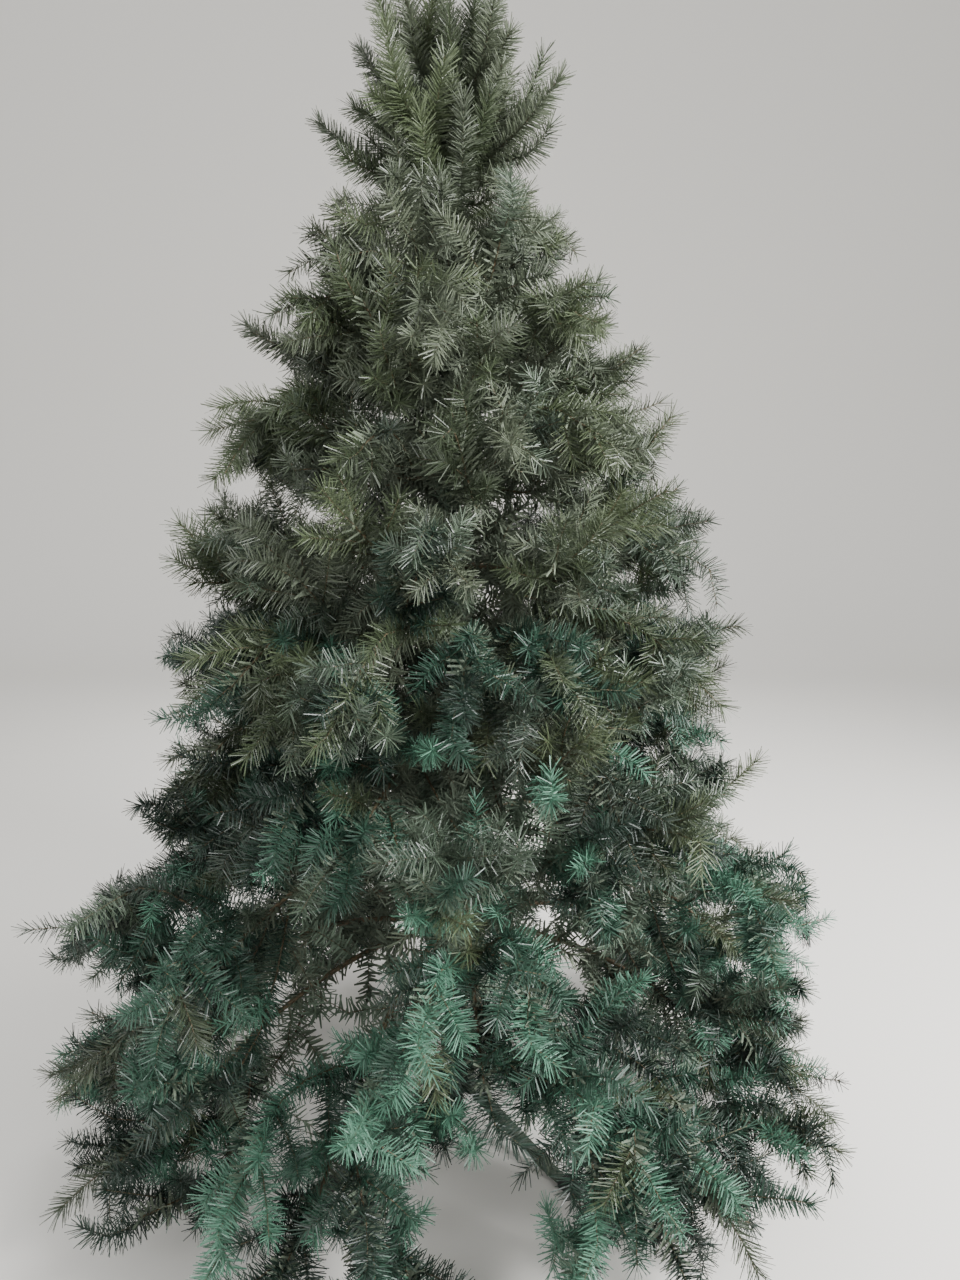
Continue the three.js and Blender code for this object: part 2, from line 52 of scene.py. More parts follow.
BODY = "root"
MM = 0.001
UP = np.array([0.0, 0.0, 1.0])
LEVEL = np.array([1.0, 0.0, 0.0])
STEEP = 0.8
QUARTER = 90
TINY = 1e-12
GOLDEN_TURN = math.pi * (3 - math.sqrt(5))
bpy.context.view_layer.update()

# The tree's plan in millimetres: pole, sleeves and collars
TREE_HEIGHT = 2410
GAP = 0.3
POLE_SIDES = 12
POLE_RADII = (16, 14.5, 12)
POLE_JOINTS = (1000, 1740)
POLE_TOP = 1965
POLE_BEVEL = 1.6
LONGEST_CUT = 0.45
ROUND_SIDES = 48
SLEEVE_RADIUS = 18.5
SLEEVE_HEIGHT = 60
COLLAR_RADIUS = 27
COLLAR_HEIGHT = 20

# Grooves and waists as height and radius off the ring's own, brackets as how far each station
# stands out from the collar, and half of a pin as radius and place along it
SLEEVE_GROOVE = ((-2.5, 0), (0, -1.4), (2.5, 0))
GROOVE_INSET = 9
COLLAR_WAIST = ((-5, 0), (-4, -2.2), (4, -2.2), (5, 0))
BRACKET_STEPS = (-3, 8, 17)
BRACKET_HEIGHTS = (17, 17, 12)
BRACKET_THICKNESS = 1.6
BRACKET_OFFSET = 9.2
BRACKET_CORNER = 0.5
PIN_HALF = ((1.8, 10), (3.2, 10), (3.2, 11.4), (0, 11.4))
PIN_BEVEL = 0.6
PIN_SIDES = 12
PIN_PLACE = (11, 1)

# Hub, screws, legs and feet of the stand. A leg's bends are corners off the end of its neck and off
# the start of its foot, and its depths go with shares of the way along it
HUB_RADIUS = 24
HUB_HEIGHT = 170
HUB_FLOOR = 8
HUB_BORE_SLACK = 0.4
HUB_RIM_RADIUS = 28
HUB_RIM_HEIGHT = 12
CUP_FILLET = 2
CUP_BEVEL = 1.8
LIP_HEIGHTS = (9, 7)
LIP_THICKNESS = 1.8
SCREW_COUNT = 4
SCREW_HEIGHT = 146
SCREW_RADIUS = 4
SCREW_LENGTH = 26
SCREW_INSET = 1.8
SCREW_SIDES = 20
THREAD_PITCH = 1.3
THREAD_DEPTH = 0.5
NUT_RADIUS = 7
NUT_THICKNESS = 5
NUT_BEVEL = 0.8
NUT_SIDES = 6
KNOB_RADIUS = 11
KNOB_THICKNESS = 7
KNOB_BEVEL = 1.6
KNOB_SIDES = 60
KNOB_FLUTES = 10
FLUTE_DEPTH = 0.07
FLUTED_FROM = 0.7
LEG_COUNT = 4
LEG_TURN = 45
LEG_REACH = 370
LEG_WIDTH = 24
LEG_DEPTH = 14
LEG_TOP = 120
LEG_ROOT_DEPTH = 44
LEG_NECK = 26
LEG_CORNER = 3
BEND_POINTS = 8
FOOT_LENGTH = 46
FOOT_WIDTH = 34
FOOT_HEIGHT = 16
FOOT_OVERHANG = 8
FOOT_CORNER = 3.5
FOOT_STATIONS = 14
TOE_SHARE = 0.72
TOE_POWER = 5
LEG_NECK_BEND = ((-8, 0), (16, 0), (46, -16))
LEG_FOOT_BEND = ((-34, 12), (-6, 1), (FOOT_LENGTH - 8, 1))
LEG_STATIONS = (0, 0.12, 0.45, 1)
LEG_DEPTHS = (LEG_ROOT_DEPTH, LEG_ROOT_DEPTH - 4, 20, LEG_DEPTH - 3)
LEG_BAR_WIDTH = LEG_WIDTH - 2.0

# Tiers from the floor up: heights of the hook and of the furthest tips, reach of the tips, how far
# the limb bows up over its chord, length of bare bough, twigs of a mass, pitch of the sprays and
# the masses' headings, in degrees from straight ahead and negative to the tree's left
Tier = namedtuple("Tier", "hook tip reach arch limb twigs pitch headings")
TIERS = (
    Tier(470, 150, 905, 70, 270, 8, 36, (-20, -56, -98, -143, 170, 124, 78, 33)),
    Tier(700, 500, 860, 60, 230, 8, 48, (6, -50, -106, -166, 128, 70)),
    Tier(900, 820, 700, 34, 0, 10, 48, (-20, -92, -164, 124, 52)),
    Tier(1090, 1090, 640, 10, 0, 9, 48, (14, -58, -130, 158, 86)),
    Tier(1280, 1350, 593, -10, 0, 9, 48, (-22, -92, -176, 112, 48)),
    Tier(1470, 1550, 501, -24, 0, 8, 52, (28, -50, -144, 110)),
    Tier(1650, 1710, 443, -30, 0, 9, 28, (-32, -156, 68)),
    Tier(1820, 1995, 345, -34, 0, 8, 44, (-98, 156, 14)),
)
Surface = namedtuple("Surface", "height slope waves turn")
LOWEST_SURFACE = Surface(330, -0.36, 0, 0)
HIGHEST_SURFACE = Surface(1950, 0.42, 0, 0)
WAVE_SHARE = 0.085
SPACE_MARGIN = 6
FLOOR_CLEARANCE = 14
LIMB_CLEARANCE = 12

# Sprays and the seeded rule that places them
DRAW_FACTOR = 1664525
DRAW_STEP = 1013904223
DRAW_LIMIT = 2**32
SEED_STEPS = (1000, 41, 11)
SPRAY_LENGTH = 262
SPRAY_HALF_WIDTH = 98
SPRAY_SIDE = ((0, 0.05), (0.43, 1), (0.49, 0.28), (0.76, 0.8), (0.74, 0.2))
SPRAY_SIZES = (1, 0.84, 0.7, 0.58)
SPRAY_ROLLS = (0, 35, -35, 70)
SPRAY_PITCHES = (1, 0.8, 0.6, 0.4)
RIB_CHECKS = (0.25, 0.5, 0.75)
SHORTEST_TWIG = 34
END_TWIG = 12
STEEP_TWIG = 90
FOOT_SHIFT = 0.4
STEM_REACH = (0.93, 1)
END_LIFT = (0, 0.4)
END_ROLL = (-60, 60)
TWIG_STRETCH = (0.05, 0.92)
TWIG_SHIFT = (-0.02, 0.02)
TWIG_TURN = (20, 48)
TWIG_REACH = (0.84, 0.99)
TWIG_RISE = (0.8, 1)
TWIG_SWING = (-14, 14)
TWIG_ROLL = (0, 60)
LEADER_STEM = 180
LEADER_SHOOTS = 10
LEADER_REACH = 315
LEADER_LENGTH = 220
LEADER_HALF_WIDTH = 60
LEADER_SEED = 9001
LEADER_TILT = (-0.04, -0.03)
LEADER_TOP_ROLL = 20
SHOOT_STRETCH = (0.16, 0.92)
SHOOT_STEP = 137.5
SHOOT_FIRST = -84
SHOOT_SHIFT = (-12, 12)
SHOOT_LEAN = (66, 22)
SHOOT_LEAN_SHIFT = (-4, 4)
SHOOT_SIZE = (1, 0.86)
SHOOT_BARE_SHARE = 0.5
SHOOT_ROLL = (-80, 80)

# Wire parts in millimetres, with the sides and the rings in each turn of the strip of the wound
# ones, and the points along and the sides of the thin ones
BOUGH_RADII = (6.6, 5.4)
STEM_RADII = (5.6, 3.4)
LEADER_STEM_RADII = (5, 3)
TWIG_RADII = (2.3, 1.5)
TIP_RADII = (1.3, 0.8)
STRIP_PITCH = 13
STRIP_RELIEF = 0.16
STRIP_POWER = 1.6
BOUGH_MESH = (12, 6)
STEM_MESH = (8, 4)
TWIG_MESH = (5, 5)
TIP_MESH = (4, 3)
LEAST_RINGS = 6
LENGTH_STEPS = 40

# How a spray is carried on into tips: for each, where it leaves the rib and how far along the spray
# it ends, as shares of the spray's length, and how far it stands off the rib, as a share of the
# spray's half width. The tips leave the rib at golden turns round it.
SPRAY_TIPS = (
    (0.42, 0.97, 0.0),
    (0.30, 0.80, 0.62),
    (0.22, 0.68, 0.84),
    (0.13, 0.57, 0.98),
    (0.05, 0.45, 1.0),
    (0.00, 0.34, 0.94),
    (0.00, 0.18, 0.80),
)
LEADER_TIPS = (
    (0.00, 0.97, 0.0),
    (0.22, 0.72, 1.0),
    (0.10, 0.58, 1.4),
    (0.00, 0.42, 1.5),
    (0.00, 0.26, 1.3),
)

# Tips: the side ones' chances by height, where tips start and end, and how they bend and curl
SIDE_TIP_HEIGHTS = (600, 800)
SIDE_TIP_CHANCES = (0.76, 0.88)
TIP_END_SHIFT = (-0.04, 0.03)
RIB_SHARE = 0.54
TWIG_ENTRY = 0.4
BLADE_DEPTH = 0.85
TURN_SHIFT = 0.5
TIP_SWELL = 0.14
TIP_BEND = 0.13
LEADER_RISE = (0.06, 0.28)
CURL_CHANCES = {"blue_green": 0.8, "mid_green": 0.7, "grey_green": 0.6, "olive": 0.15}
CURL_ASIDE = (0.2, 0.65)
CURL_BACK = (0.05, 0.24)
CURL_SAG = 0.3

# Which kind and shade of needles a spray gets by its height over the floor. Both carry painted light:
# the full tips turn from blue-green to grey-green upward, and the shades are darker low down and
# paler at the top
OTHER_KIND_CHANCE = 0.22
OTHER_SHADE_CHANCE = 0.45
FULL_HEIGHTS = (650, 1300)
FULL_SHARES = (0.88, 0.6)
# The full tips' hue by height is painted light on their own blue-green: cooler light low down, greyer and
# paler light higher up
PAINTED_HUE_HEIGHTS = (500, 850, 1100, 1300, 1500, 2000)
BLUE_SHARES = (0.98, 0.65, 0.2, 0.05, 0.0, 0.0)
MID_SHARES = (1.0, 1.0, 0.9, 0.6, 0.3, 0.0)
# Shares of light and dark shades by height. The dark ones low down are painted shade, the light blue-green
# ones there are painted highlights, and the pale ones at the top are painted light. In between, the shades
# differ at random
PAINTED_LIGHT_HEIGHTS = (0, 700, 1100, 1500, 2000)
BLUE_HIGHLIGHT_SHARES = (0.34, 0.3, 0.0, 0.0, 0.0)
LIGHT_AND_PAINTED_LIGHT_SHARES = (0.08, 0.18, 0.24, 0.3, 0.65)
DARK_AND_PAINTED_SHADE_SHARES = (0.56, 0.42, 0.3, 0.2, 0.0)
SHADES = ("light", "middle", "dark")
# The wound stems' needles take the dark shade: painted shade inside the crown
PAINTED_SHADE_INSIDE = 2

# The crown's radius by height, and how the needles thin out, widen and dull from it to the pole
CROWN_TOP_RADIUS = 110
CROWN_HEIGHTS = (*(tier.tip for tier in TIERS), TREE_HEIGHT)
CROWN_RADII = (*(tier.reach for tier in TIERS), CROWN_TOP_RADIUS)
LEADER_SHARE = 2.2
INNER_STRETCH = (0.35, 0.82)
INNER_SHARE = 0.26
INNER_WIDENING = 0.8
MATTE_SHARE = 0.7

# Short tips along boughs, stems and twigs, and round the pole
FILL_SEED = 77
FILL_SPACING = 46
FILL_LENGTH = (100, 150)
FILL_SPREAD = (34, 75)
FILL_SHIFT = 0.25
# Fill and pole tips take only the light and middle shades: painted light that lifts the shade inside the
# crown
FILL_SHADES = 2
BOUGH_FILL_START = 0.4
STEM_FILL_SHARE = 1.4
POLE_TIPS = 150
POLE_TIP_HEIGHTS = (640, 2135)
LOW_POLE_TIPS = 26
LOW_POLE_TIP_HEIGHTS = (390, 650)
POLE_REACH_HEIGHTS = (640, 1850, 2000, 2135)
POLE_TIP_REACH = (170, 200, 200, 120)
POLE_TIP_SPAN = (0.85, 1.1)
POLE_TIP_RISE = (10, 50)
POLE_TIP_SWING = (-10, 10)

# Kinds of needled stretch: length of the needles in millimetres, their lean off the core at its
# root and end in degrees, how far the last ones close round the end, how strongly they lie to two
# sides, how many there are to a millimetre of core, and their width in millimetres
Kind = namedtuple("Kind", "length root_lean end_lean closing flatness density width")
KINDS = {
    "blue_green": Kind(34, 80, 66, 0.85, 0.05, 1.7, 2.15),
    "mid_green": Kind(35, 77, 63, 0.85, 0.05, 1.42, 2.0),
    "grey_green": Kind(37, 74, 60, 0.8, 0.05, 1.38, 2.1),
    "olive": Kind(42, 60, 48, 0.6, 0.15, 1.2, 1.9),
    "wound": Kind(34, 66, 58, 0.0, 0.0, 0.8, 2.0),
}

# How the needles of one stretch differ: the fewest, where they start, the spreads of their place,
# turn, lean and spin, where they close round the end and how much, shares of their length and
# where it swells, how far they sag, and the lowest that they and their cores lie
LEAST_NEEDLES = 8
NEEDLE_START = 0.03
NEEDLE_SHIFT = 0.006
NEEDLE_TURN = 0.25
NEEDLE_LEAN = 5
NEEDLE_SPIN = 0.5
CLOSING_START = 0.86
CLOSING_SHARES = (0.3, 1)
LENGTH_SHARES = (0.8, 1.12)
ROOT_LENGTH_SHARE = 0.86
SWELL_SHIFT = 0.15
NEEDLE_SAG = 0.02
LOWEST_END = 5
LOWEST_CORE = 6
NUDGE = 1e-3

# Finishes: roughness and specular level of the needles by kind, the dull ones inside and how far
# # their colour is blended to the pale inner green as painted light, dust and wear of the enamel, and
# # the relief of each pattern as its strength and its depth in metres
NEEDLE_ROUGHNESS = {"blue_green": 0.41, "mid_green": 0.43, "grey_green": 0.45, "olive": 0.45}
NEEDLE_SPECULAR = {"blue_green": 0.42, "mid_green": 0.62, "grey_green": 0.65, "olive": 0.65}
INNER_ROUGHNESS = 0.8
INNER_PAINTED_LIGHT_BLEND = 0.7
POLE_ENAMEL = (0.25, 0.35)
STAND_ENAMEL = (0.6, 0.5)
WORN_COLOUR = (0.16, 0.15, 0.13, 1)
DUST_COLOUR = (0.26, 0.25, 0.22, 1)
ENAMEL_RELIEF = (0.25, 0.0004)
FIBRE_RELIEF = (0.4, 0.0003)
NOISE_RANGE = (0.3, 0.7)
RUBBER_RELIEF = (0.3, 0.0003)

# Soft lights: name, the setting that holds the power, place and size in metres. Then where they
# aim, the tint of the even light, and the floor's sides and the backdrop's curve and height
LIGHTS = (
    ("Key light", "key_power", (2.8, -2.2, 2.8), 1.3),
    ("Fill light", "fill_power", (-3.2, -2.2, 2.2), 2.6),
    ("Back light", "fill_power", (-0.4, 3.6, 3.4), 2.6),
    ("Side light", "side_power", (3.4, 0.7, 2.3), 1.8),
)
LIGHT_AIM = (0, 0, 1.2)
SKY_TINT = (0.97, 0.985, 1.0, 1)
SENSOR_WIDTH = 36
FLOOR_SIDES = (-14, 0, 14)
FLOOR_FRONT = -12
FLOOR_BACK = 5
FLOOR_ROUGHNESS = 0.7
BACKDROP_CURVE = 2.5
BACKDROP_HEIGHT = 9
BACKDROP_POINTS = 20


def linear(red, green, blue):
    """A colour given as three numbers from 0 to 255, as shown on a screen, in linear light: a
    straight line for the darkest and a power of 2.4 above them."""
    shown = np.array([red, green, blue]) / 255
    return tuple(np.where(shown <= 0.04045, shown / 12.92, ((shown + 0.055) / 1.055) ** 2.4))


def tint(name, description, colour):
    """A colour setting."""
    return bpy.props.FloatVectorProperty(
        name=name, description=description, default=linear(*colour), min=0, max=1, subtype="COLOR"
    )


def amount(name, description, value, low, high, unit="NONE"):
    """A number setting."""
    return bpy.props.FloatProperty(
        name=name, description=description, default=value, min=low, max=high, unit=unit
    )


class NeedleSettings(bpy.types.PropertyGroup):
    """Sizes of the needles and how many there are."""

    length_scale: amount("Length", "Needle length as a share of the plan's", 1.0, 0.2, 2)
    width_scale: amount("Width", "Needle width as a share of the plan's", 1.0, 0.2, 3)
    density_scale: amount("Density", "Number of needles as a share of the plan's", 1.0, 0.05, 2)
    end_width: amount("End width", "Width of a needle's end as a share of its root's", 0.6, 0.05, 1)
    twist: amount("Twist", "Turn of a needle from its root to its end", 0.9, 0, 3.2, "ROTATION")


class ColourSettings(bpy.types.PropertyGroup):
    """Colours of the tree."""

    # The light blue-green stands for the bright teal glints of the low tips: a painted highlight
    blue_green_light: tint("Light blue-green", "Needles of the bluest tips", (73, 110, 91))
    blue_green_middle: tint("Blue-green", "Needles of most blue-green tips", (42, 67, 54))
    blue_green_dark: tint("Dark blue-green", "Needles of shaded blue-green tips", (26, 42, 33))
    # Mid green is the blue-green tips under painted light halfway up
    mid_green_light: tint("Light mid green", "Needles of the palest tips halfway up", (73, 86, 70))
    mid_green_middle: tint("Mid green", "Needles of most tips halfway up", (58, 71, 57))
    mid_green_dark: tint("Dark mid green", "Needles of the darkest tips halfway up", (44, 56, 45))
    # Grey-green is the blue-green tips under painted light high up: greyer and paler
    grey_green_light: tint("Light grey-green", "Needles of the palest upper tips", (82, 90, 72))
    grey_green_middle: tint("Grey-green", "Needles of most upper tips", (70, 78, 62))
    grey_green_dark: tint("Dark grey-green", "Needles of the darkest upper tips", (57, 65, 52))
    olive_light: tint("Light olive", "Needles of the palest olive tips", (74, 85, 59))
    olive_middle: tint("Olive", "Needles of most olive tips", (61, 72, 49))
    olive_dark: tint("Dark olive", "Needles of the darkest olive tips", (48, 58, 39))
    # The inner green is pale: painted light that lifts the shade inside the crown
    inner: tint("Inner needles", "Needles near the pole", (106, 115, 98))
    wire: tint("Wire", "Wound plastic strip of boughs and twigs", (92, 76, 54))
    paint: tint("Paint", "Enamel of the pole and the stand", (46, 62, 48))
    steel: tint("Steel", "Plated steel of the screws and pins", (172, 170, 164))
    rubber: tint("Rubber", "Caps of the feet", (32, 32, 31))


class StageSettings(bpy.types.PropertyGroup):
    """Floor, lights and camera."""

    floor: tint("Floor", "Colour of the floor and backdrop", (214, 211, 205))
    key_power: amount("Key light", "Power of the main soft light", 420.0, 0, 5000, "POWER")
    fill_power: amount("Fill light", "Power of the soft light opposite", 95.0, 0, 5000, "POWER")
    side_power: amount("Side light", "Power of the soft light at the right", 130.0, 0, 5000, "POWER")
    sky: amount("Sky", "Strength of the even light from all sides", 1.0, 0, 10)
    eye_x: amount("Camera X", "Camera's place to the right of the pole", 0.064, -50, 50, "LENGTH")
    eye_y: amount("Camera Y", "Camera's place along the view", -2.04, -50, 50, "LENGTH")
    eye_z: amount("Camera Z", "Camera's height over the floor", 1.46, 0, 50, "LENGTH")
    pitch: amount("Pitch", "How far the camera looks down", math.radians(9.5), -2, 2, "ROTATION")
    lens: amount("Lens", "Focal length on a sensor 36 mm long", 27.03, 5, 300)


class SeededRange:
    """Repeatable numbers: each is the last times a constant plus a constant, cut to 32 bits."""

    def __init__(self, seed):
        self.state = seed

    def __call__(self, low, high):
        self.state = (self.state * DRAW_FACTOR + DRAW_STEP) % DRAW_LIMIT
        return low + (high - low) * (self.state / DRAW_LIMIT)


def mix(a, b, t):
    """The value a share t of the way from a to b."""
    return a + (b - a) * t


def unit(v):
    """Vectors at length 1."""
    return v / np.maximum(np.linalg.norm(v, axis=-1, keepdims=True), TINY)


def outward(heading):
    """The level way out from the pole at a heading, where 0 is the front, along -Y."""
    angle = math.radians(heading)
    return np.array([math.sin(angle), -math.cos(angle), 0.0])


class Bend:
    """A quadratic curve: (1-t)(1-t) first + 2t(1-t) middle + tt last."""

    def __init__(self, first, middle, last):
        self.first, self.middle, self.last = (np.asarray(p, float) for p in (first, middle, last))

    def at(self, t):
        """The point at t, or the points at an array of t."""
        t = np.asarray(t, float)[..., None]
        return (1 - t) ** 2 * self.first + 2 * t * (1 - t) * self.middle + t**2 * self.last

    def tangent(self, t):
        """The direction at t."""
        step = 1e-4
        return unit(self.at(min(t + step, 1)) - self.at(max(t - step, 0)))

    def span(self):
        """The straight distance between its ends."""
        return np.linalg.norm(self.last - self.first)

    def stretch(self, start, end):
        """The part of the curve between two of its parameters, as a curve of its own."""
        slope = mix(self.middle - self.first, self.last - self.middle, start)
        first = self.at(start)
        return Bend(first, first + slope * (end - start), self.at(end))


# A spray: its twig from root to foot, its blade's directions, length and half width, and the
# blade's corners in space and on its own plane. A mass is a limb whose outer part is the stem of
# its sprays, and a space lies between two surfaces, two radii and two upright planes
Spray = namedtuple("Spray", "root foot along across normal length half_width corners outline")
Mass = namedtuple("Mass", "tier limb limb_share stem sprays space")
Space = namedtuple("Space", "floor ceiling near reach planes")


def spray_outline(length, half_width):
    """Corners of a spray on its own plane: the tip, the near side back to the foot, the far side."""
    near = [(x * length, y * half_width) for x, y in reversed(SPRAY_SIDE)]
    far = [(x * length, -y * half_width) for x, y in SPRAY_SIDE]
    return np.array([(length, 0.0), *near, *far])


def rolled(along, angle):
    """The way square to a line that is level at angle 0 and turns about the line with the angle."""
    level = unit(np.cross(along, UP))
    return level * math.cos(angle) + np.cross(along, level) * math.sin(angle)


def make_spray(root, foot, along, roll, length, half_width):
    """A spray whose blade is level at roll 0 and turns about its own length."""
    across = rolled(along, math.radians(roll))
    normal = np.cross(along, across)
    outline = spray_outline(length, half_width)
    corners = foot + outline[:, :1] * along + outline[:, 1:] * across
    return Spray(root, foot, along, across, normal, length, half_width, corners, outline)


def in_blade(points, spray):
    """Points in a spray's own frame: along it, across it and off its plane."""
    axes = np.stack([spray.along, spray.across, spray.normal], axis=1)
    return (points - spray.foot) @ axes


def lines_meet(starts, ends, outline):
    """True if any straight line, given in a blade's frame, goes through that blade."""
    crosses = (starts[:, 2] > 0) != (ends[:, 2] > 0)
    starts, ends = starts[crosses], ends[crosses]
    if len(starts) == 0:
        return False
    share = starts[:, 2] / (starts[:, 2] - ends[:, 2])
    x, y = (starts + share[:, None] * (ends - starts))[:, :2].T
    x1, y1 = outline.T
    x2, y2 = np.roll(outline, -1, axis=0).T
    spans = (y1 > y[:, None]) != (y2 > y[:, None])
    rise = np.where(y2 == y1, 1, y2 - y1)
    edge = x1 + (x2 - x1) * (y[:, None] - y1) / rise
    return bool((np.sum(spans & (x[:, None] < edge), axis=1) % 2 == 1).any())


def is_crossed(spray, sprays, lines):
    """True if a new spray or its twig cuts through a spray or a twig that is already there."""
    following = np.roll(spray.corners, -1, axis=0)
    starts = np.vstack([spray.corners, spray.root])
    ends = np.vstack([following, spray.foot])
    for other in sprays:
        if lines_meet(in_blade(starts, other), in_blade(ends, other), other.outline):
            return True
        theirs = in_blade(other.corners, spray)
        if lines_meet(theirs, np.roll(theirs, -1, axis=0), spray.outline):
            return True
    held = np.array(lines)
    return lines_meet(in_blade(held[:, 0], spray), in_blade(held[:, 1], spray), spray.outline)


def slope_of(tier):
    """How steeply a tier's line rises from its hook to its tips."""
    return (tier.tip - tier.hook) / tier.reach


def surface_height(surface, points):
    """Height plus slope times radius, where the slope swells with the cosine of the heading."""
    radius = np.hypot(points[..., 0], points[..., 1])
    turn = np.arctan2(points[..., 0], -points[..., 1]) - math.radians(surface.turn)
    swell = WAVE_SHARE * np.cos(surface.waves * turn) if surface.waves > 0 else 0.0
    return surface.height + (surface.slope + swell) * radius


def surface_between(lower, upper):
    """The surface halfway between two tiers."""
    radius = (lower.reach + upper.reach) / 2
    height = (lower.hook + upper.hook) / 2
    outer = height + (slope_of(lower) + slope_of(upper)) / 2 * radius
    return Surface(height, (outer - height) / radius, len(lower.headings), lower.headings[0])


def space_of(tier_index, mass_index):
    """A mass's own space: between two surfaces, two upright planes, and two radii."""
    tier = TIERS[tier_index]
    heading = tier.headings[mass_index]
    floor, ceiling = LOWEST_SURFACE, HIGHEST_SURFACE
    if tier_index > 0:
        floor = surface_between(TIERS[tier_index - 1], tier)
    if tier_index < len(TIERS) - 1:
        ceiling = surface_between(tier, TIERS[tier_index + 1])

    def nearest(sign):
        turns = [(sign * (other - heading)) % 360 for other in tier.headings]
        return min(turn for turn in turns if turn > 0) / 2

    near = (tier.limb if tier.limb > 0 else COLLAR_RADIUS) + LIMB_CLEARANCE
    headings = (heading + nearest(1) - QUARTER, heading - nearest(-1) + QUARTER)
    return Space(floor, ceiling, near, tier.reach, np.array([outward(turn) for turn in headings]))


def is_inside(space, points, margin=SPACE_MARGIN):
    """Which of the points lie in a space."""
    radius = np.hypot(points[..., 0], points[..., 1])
    height = points[..., 2]
    return (
        (radius > space.near)
        & (radius < space.reach)
        & (height > FLOOR_CLEARANCE)
        & (height > surface_height(space.floor, points) + margin)
        & (height < surface_height(space.ceiling, points) - margin)
        & (points @ space.planes.T > margin).all(axis=-1)
    )


def spray_fits(space, spray):
    """True if a spray's corners, edge middles and rib lie in the space."""
    middles = (spray.corners + np.roll(spray.corners, -1, axis=0)) / 2
    rib = np.array([mix(spray.foot, spray.corners[0], share) for share in RIB_CHECKS])
    return bool(is_inside(space, np.vstack([spray.corners, middles, rib])).all())


def sided_reach(radius, heading):
    """How far a flat-sided turned piece reaches in a direction."""
    side = 360 / POLE_SIDES
    turn = (heading + side / 2) % side
    return radius * math.cos(math.radians(turn - side / 2))


def limb_curve(tier, heading, reach_share):
    """A mass's whole limb, from its collar to the end of its stem."""
    end = tier.reach * reach_share - SPRAY_LENGTH
    away = outward(heading)
    root = away * (sided_reach(COLLAR_RADIUS, heading) + GAP) + UP * tier.hook
    tip = away * end + UP * mix(tier.hook, tier.tip, end / tier.reach)
    return Bend(root, (root + tip) / 2 + UP * 2 * tier.arch, tip)


def distance_to_circle(radius, circle, lean):
    """How far a level line that leans off the outward way runs from a radius to a circle."""
    across = radius * math.sin(lean)
    return math.sqrt(max(circle * circle - across * across, 0)) - radius * math.cos(lean)


def grow_mass(tier_index, mass_index):
    """The twigs and sprays of one mass. A spray that would leave the mass's space, or cut through
    what is there, is tried at smaller sizes, flatter pitches and other rolls, and then skipped."""
    tier = TIERS[tier_index]
    heading = tier.headings[mass_index]
    by_tier, by_mass, start = SEED_STEPS
    random = SeededRange(by_tier * (tier_index + 1) + by_mass * mass_index + start)
    space = space_of(tier_index, mass_index)
    limb = limb_curve(tier, heading, random(*STEM_REACH))
    limb_length = tier.reach - SPRAY_LENGTH
    limb_share = tier.limb / limb_length
    stem = limb.stretch(limb_share + GAP / limb_length if limb_share > 0 else 0, 1)
    end_root = 1 - END_TWIG / limb_length
    steps = stem.at(np.linspace(0, end_root, 4))
    lines = [(steps[i], steps[i + 1]) for i in range(3)]
    sprays = []

    def grow(root, aim, roll):
        for size in SPRAY_SIZES:
            for share in SPRAY_PITCHES:
                foot, along = aim(size, share)
                for turn in SPRAY_ROLLS:
                    length, half = size * SPRAY_LENGTH, size * SPRAY_HALF_WIDTH
                    spray = make_spray(root, foot, along, roll + turn, length, half)
                    if spray_fits(space, spray) and not is_crossed(spray, sprays, lines):
                        sprays.append(spray)
                        lines.append((root, foot))
                        return

    lift = random(*END_LIFT)

    def end_aim(_, share):
        return stem.at(1), unit(stem.tangent(1) + UP * lift * share)

    grow(stem.at(end_root), end_aim, random(*END_ROLL))
    for i in range(tier.twigs):
        along = mix(*TWIG_STRETCH, i / (tier.twigs - 1))
        root = stem.at(along + random(*TWIG_SHIFT))
        turn = (1 if i % 2 == 0 else -1) * random(*TWIG_TURN)
        circle = tier.reach * random(*TWIG_REACH)
        level = distance_to_circle(math.hypot(root[0], root[1]), circle, math.radians(turn))
        rise = (1 if i % 4 < 2 else -1) * random(*TWIG_RISE)
        swing = random(*TWIG_SWING)

        def aim(size, share, root=root, turn=turn, level=level, rise=rise, swing=swing):
            pitch = math.radians(tier.pitch * rise * share)
            bare = max(SHORTEST_TWIG, level - size * SPRAY_LENGTH * math.cos(pitch))
            foot = root + outward(heading + turn) * bare
            low, high = surface_height(space.floor, foot), surface_height(space.ceiling, foot)
            height = mix(low, high, 0.5 - FOOT_SHIFT * rise * share)
            foot[2] = mix(root[2], height, min(1, bare / STEEP_TWIG))
            away = outward(heading + turn + swing)
            return foot, unit(away + UP * (slope_of(tier) + math.tan(pitch)))

        grow(root, aim, (-1 if i % 3 == 0 else 1) * random(*TWIG_ROLL))
    return Mass(tier, limb, limb_share, stem, sprays, space)


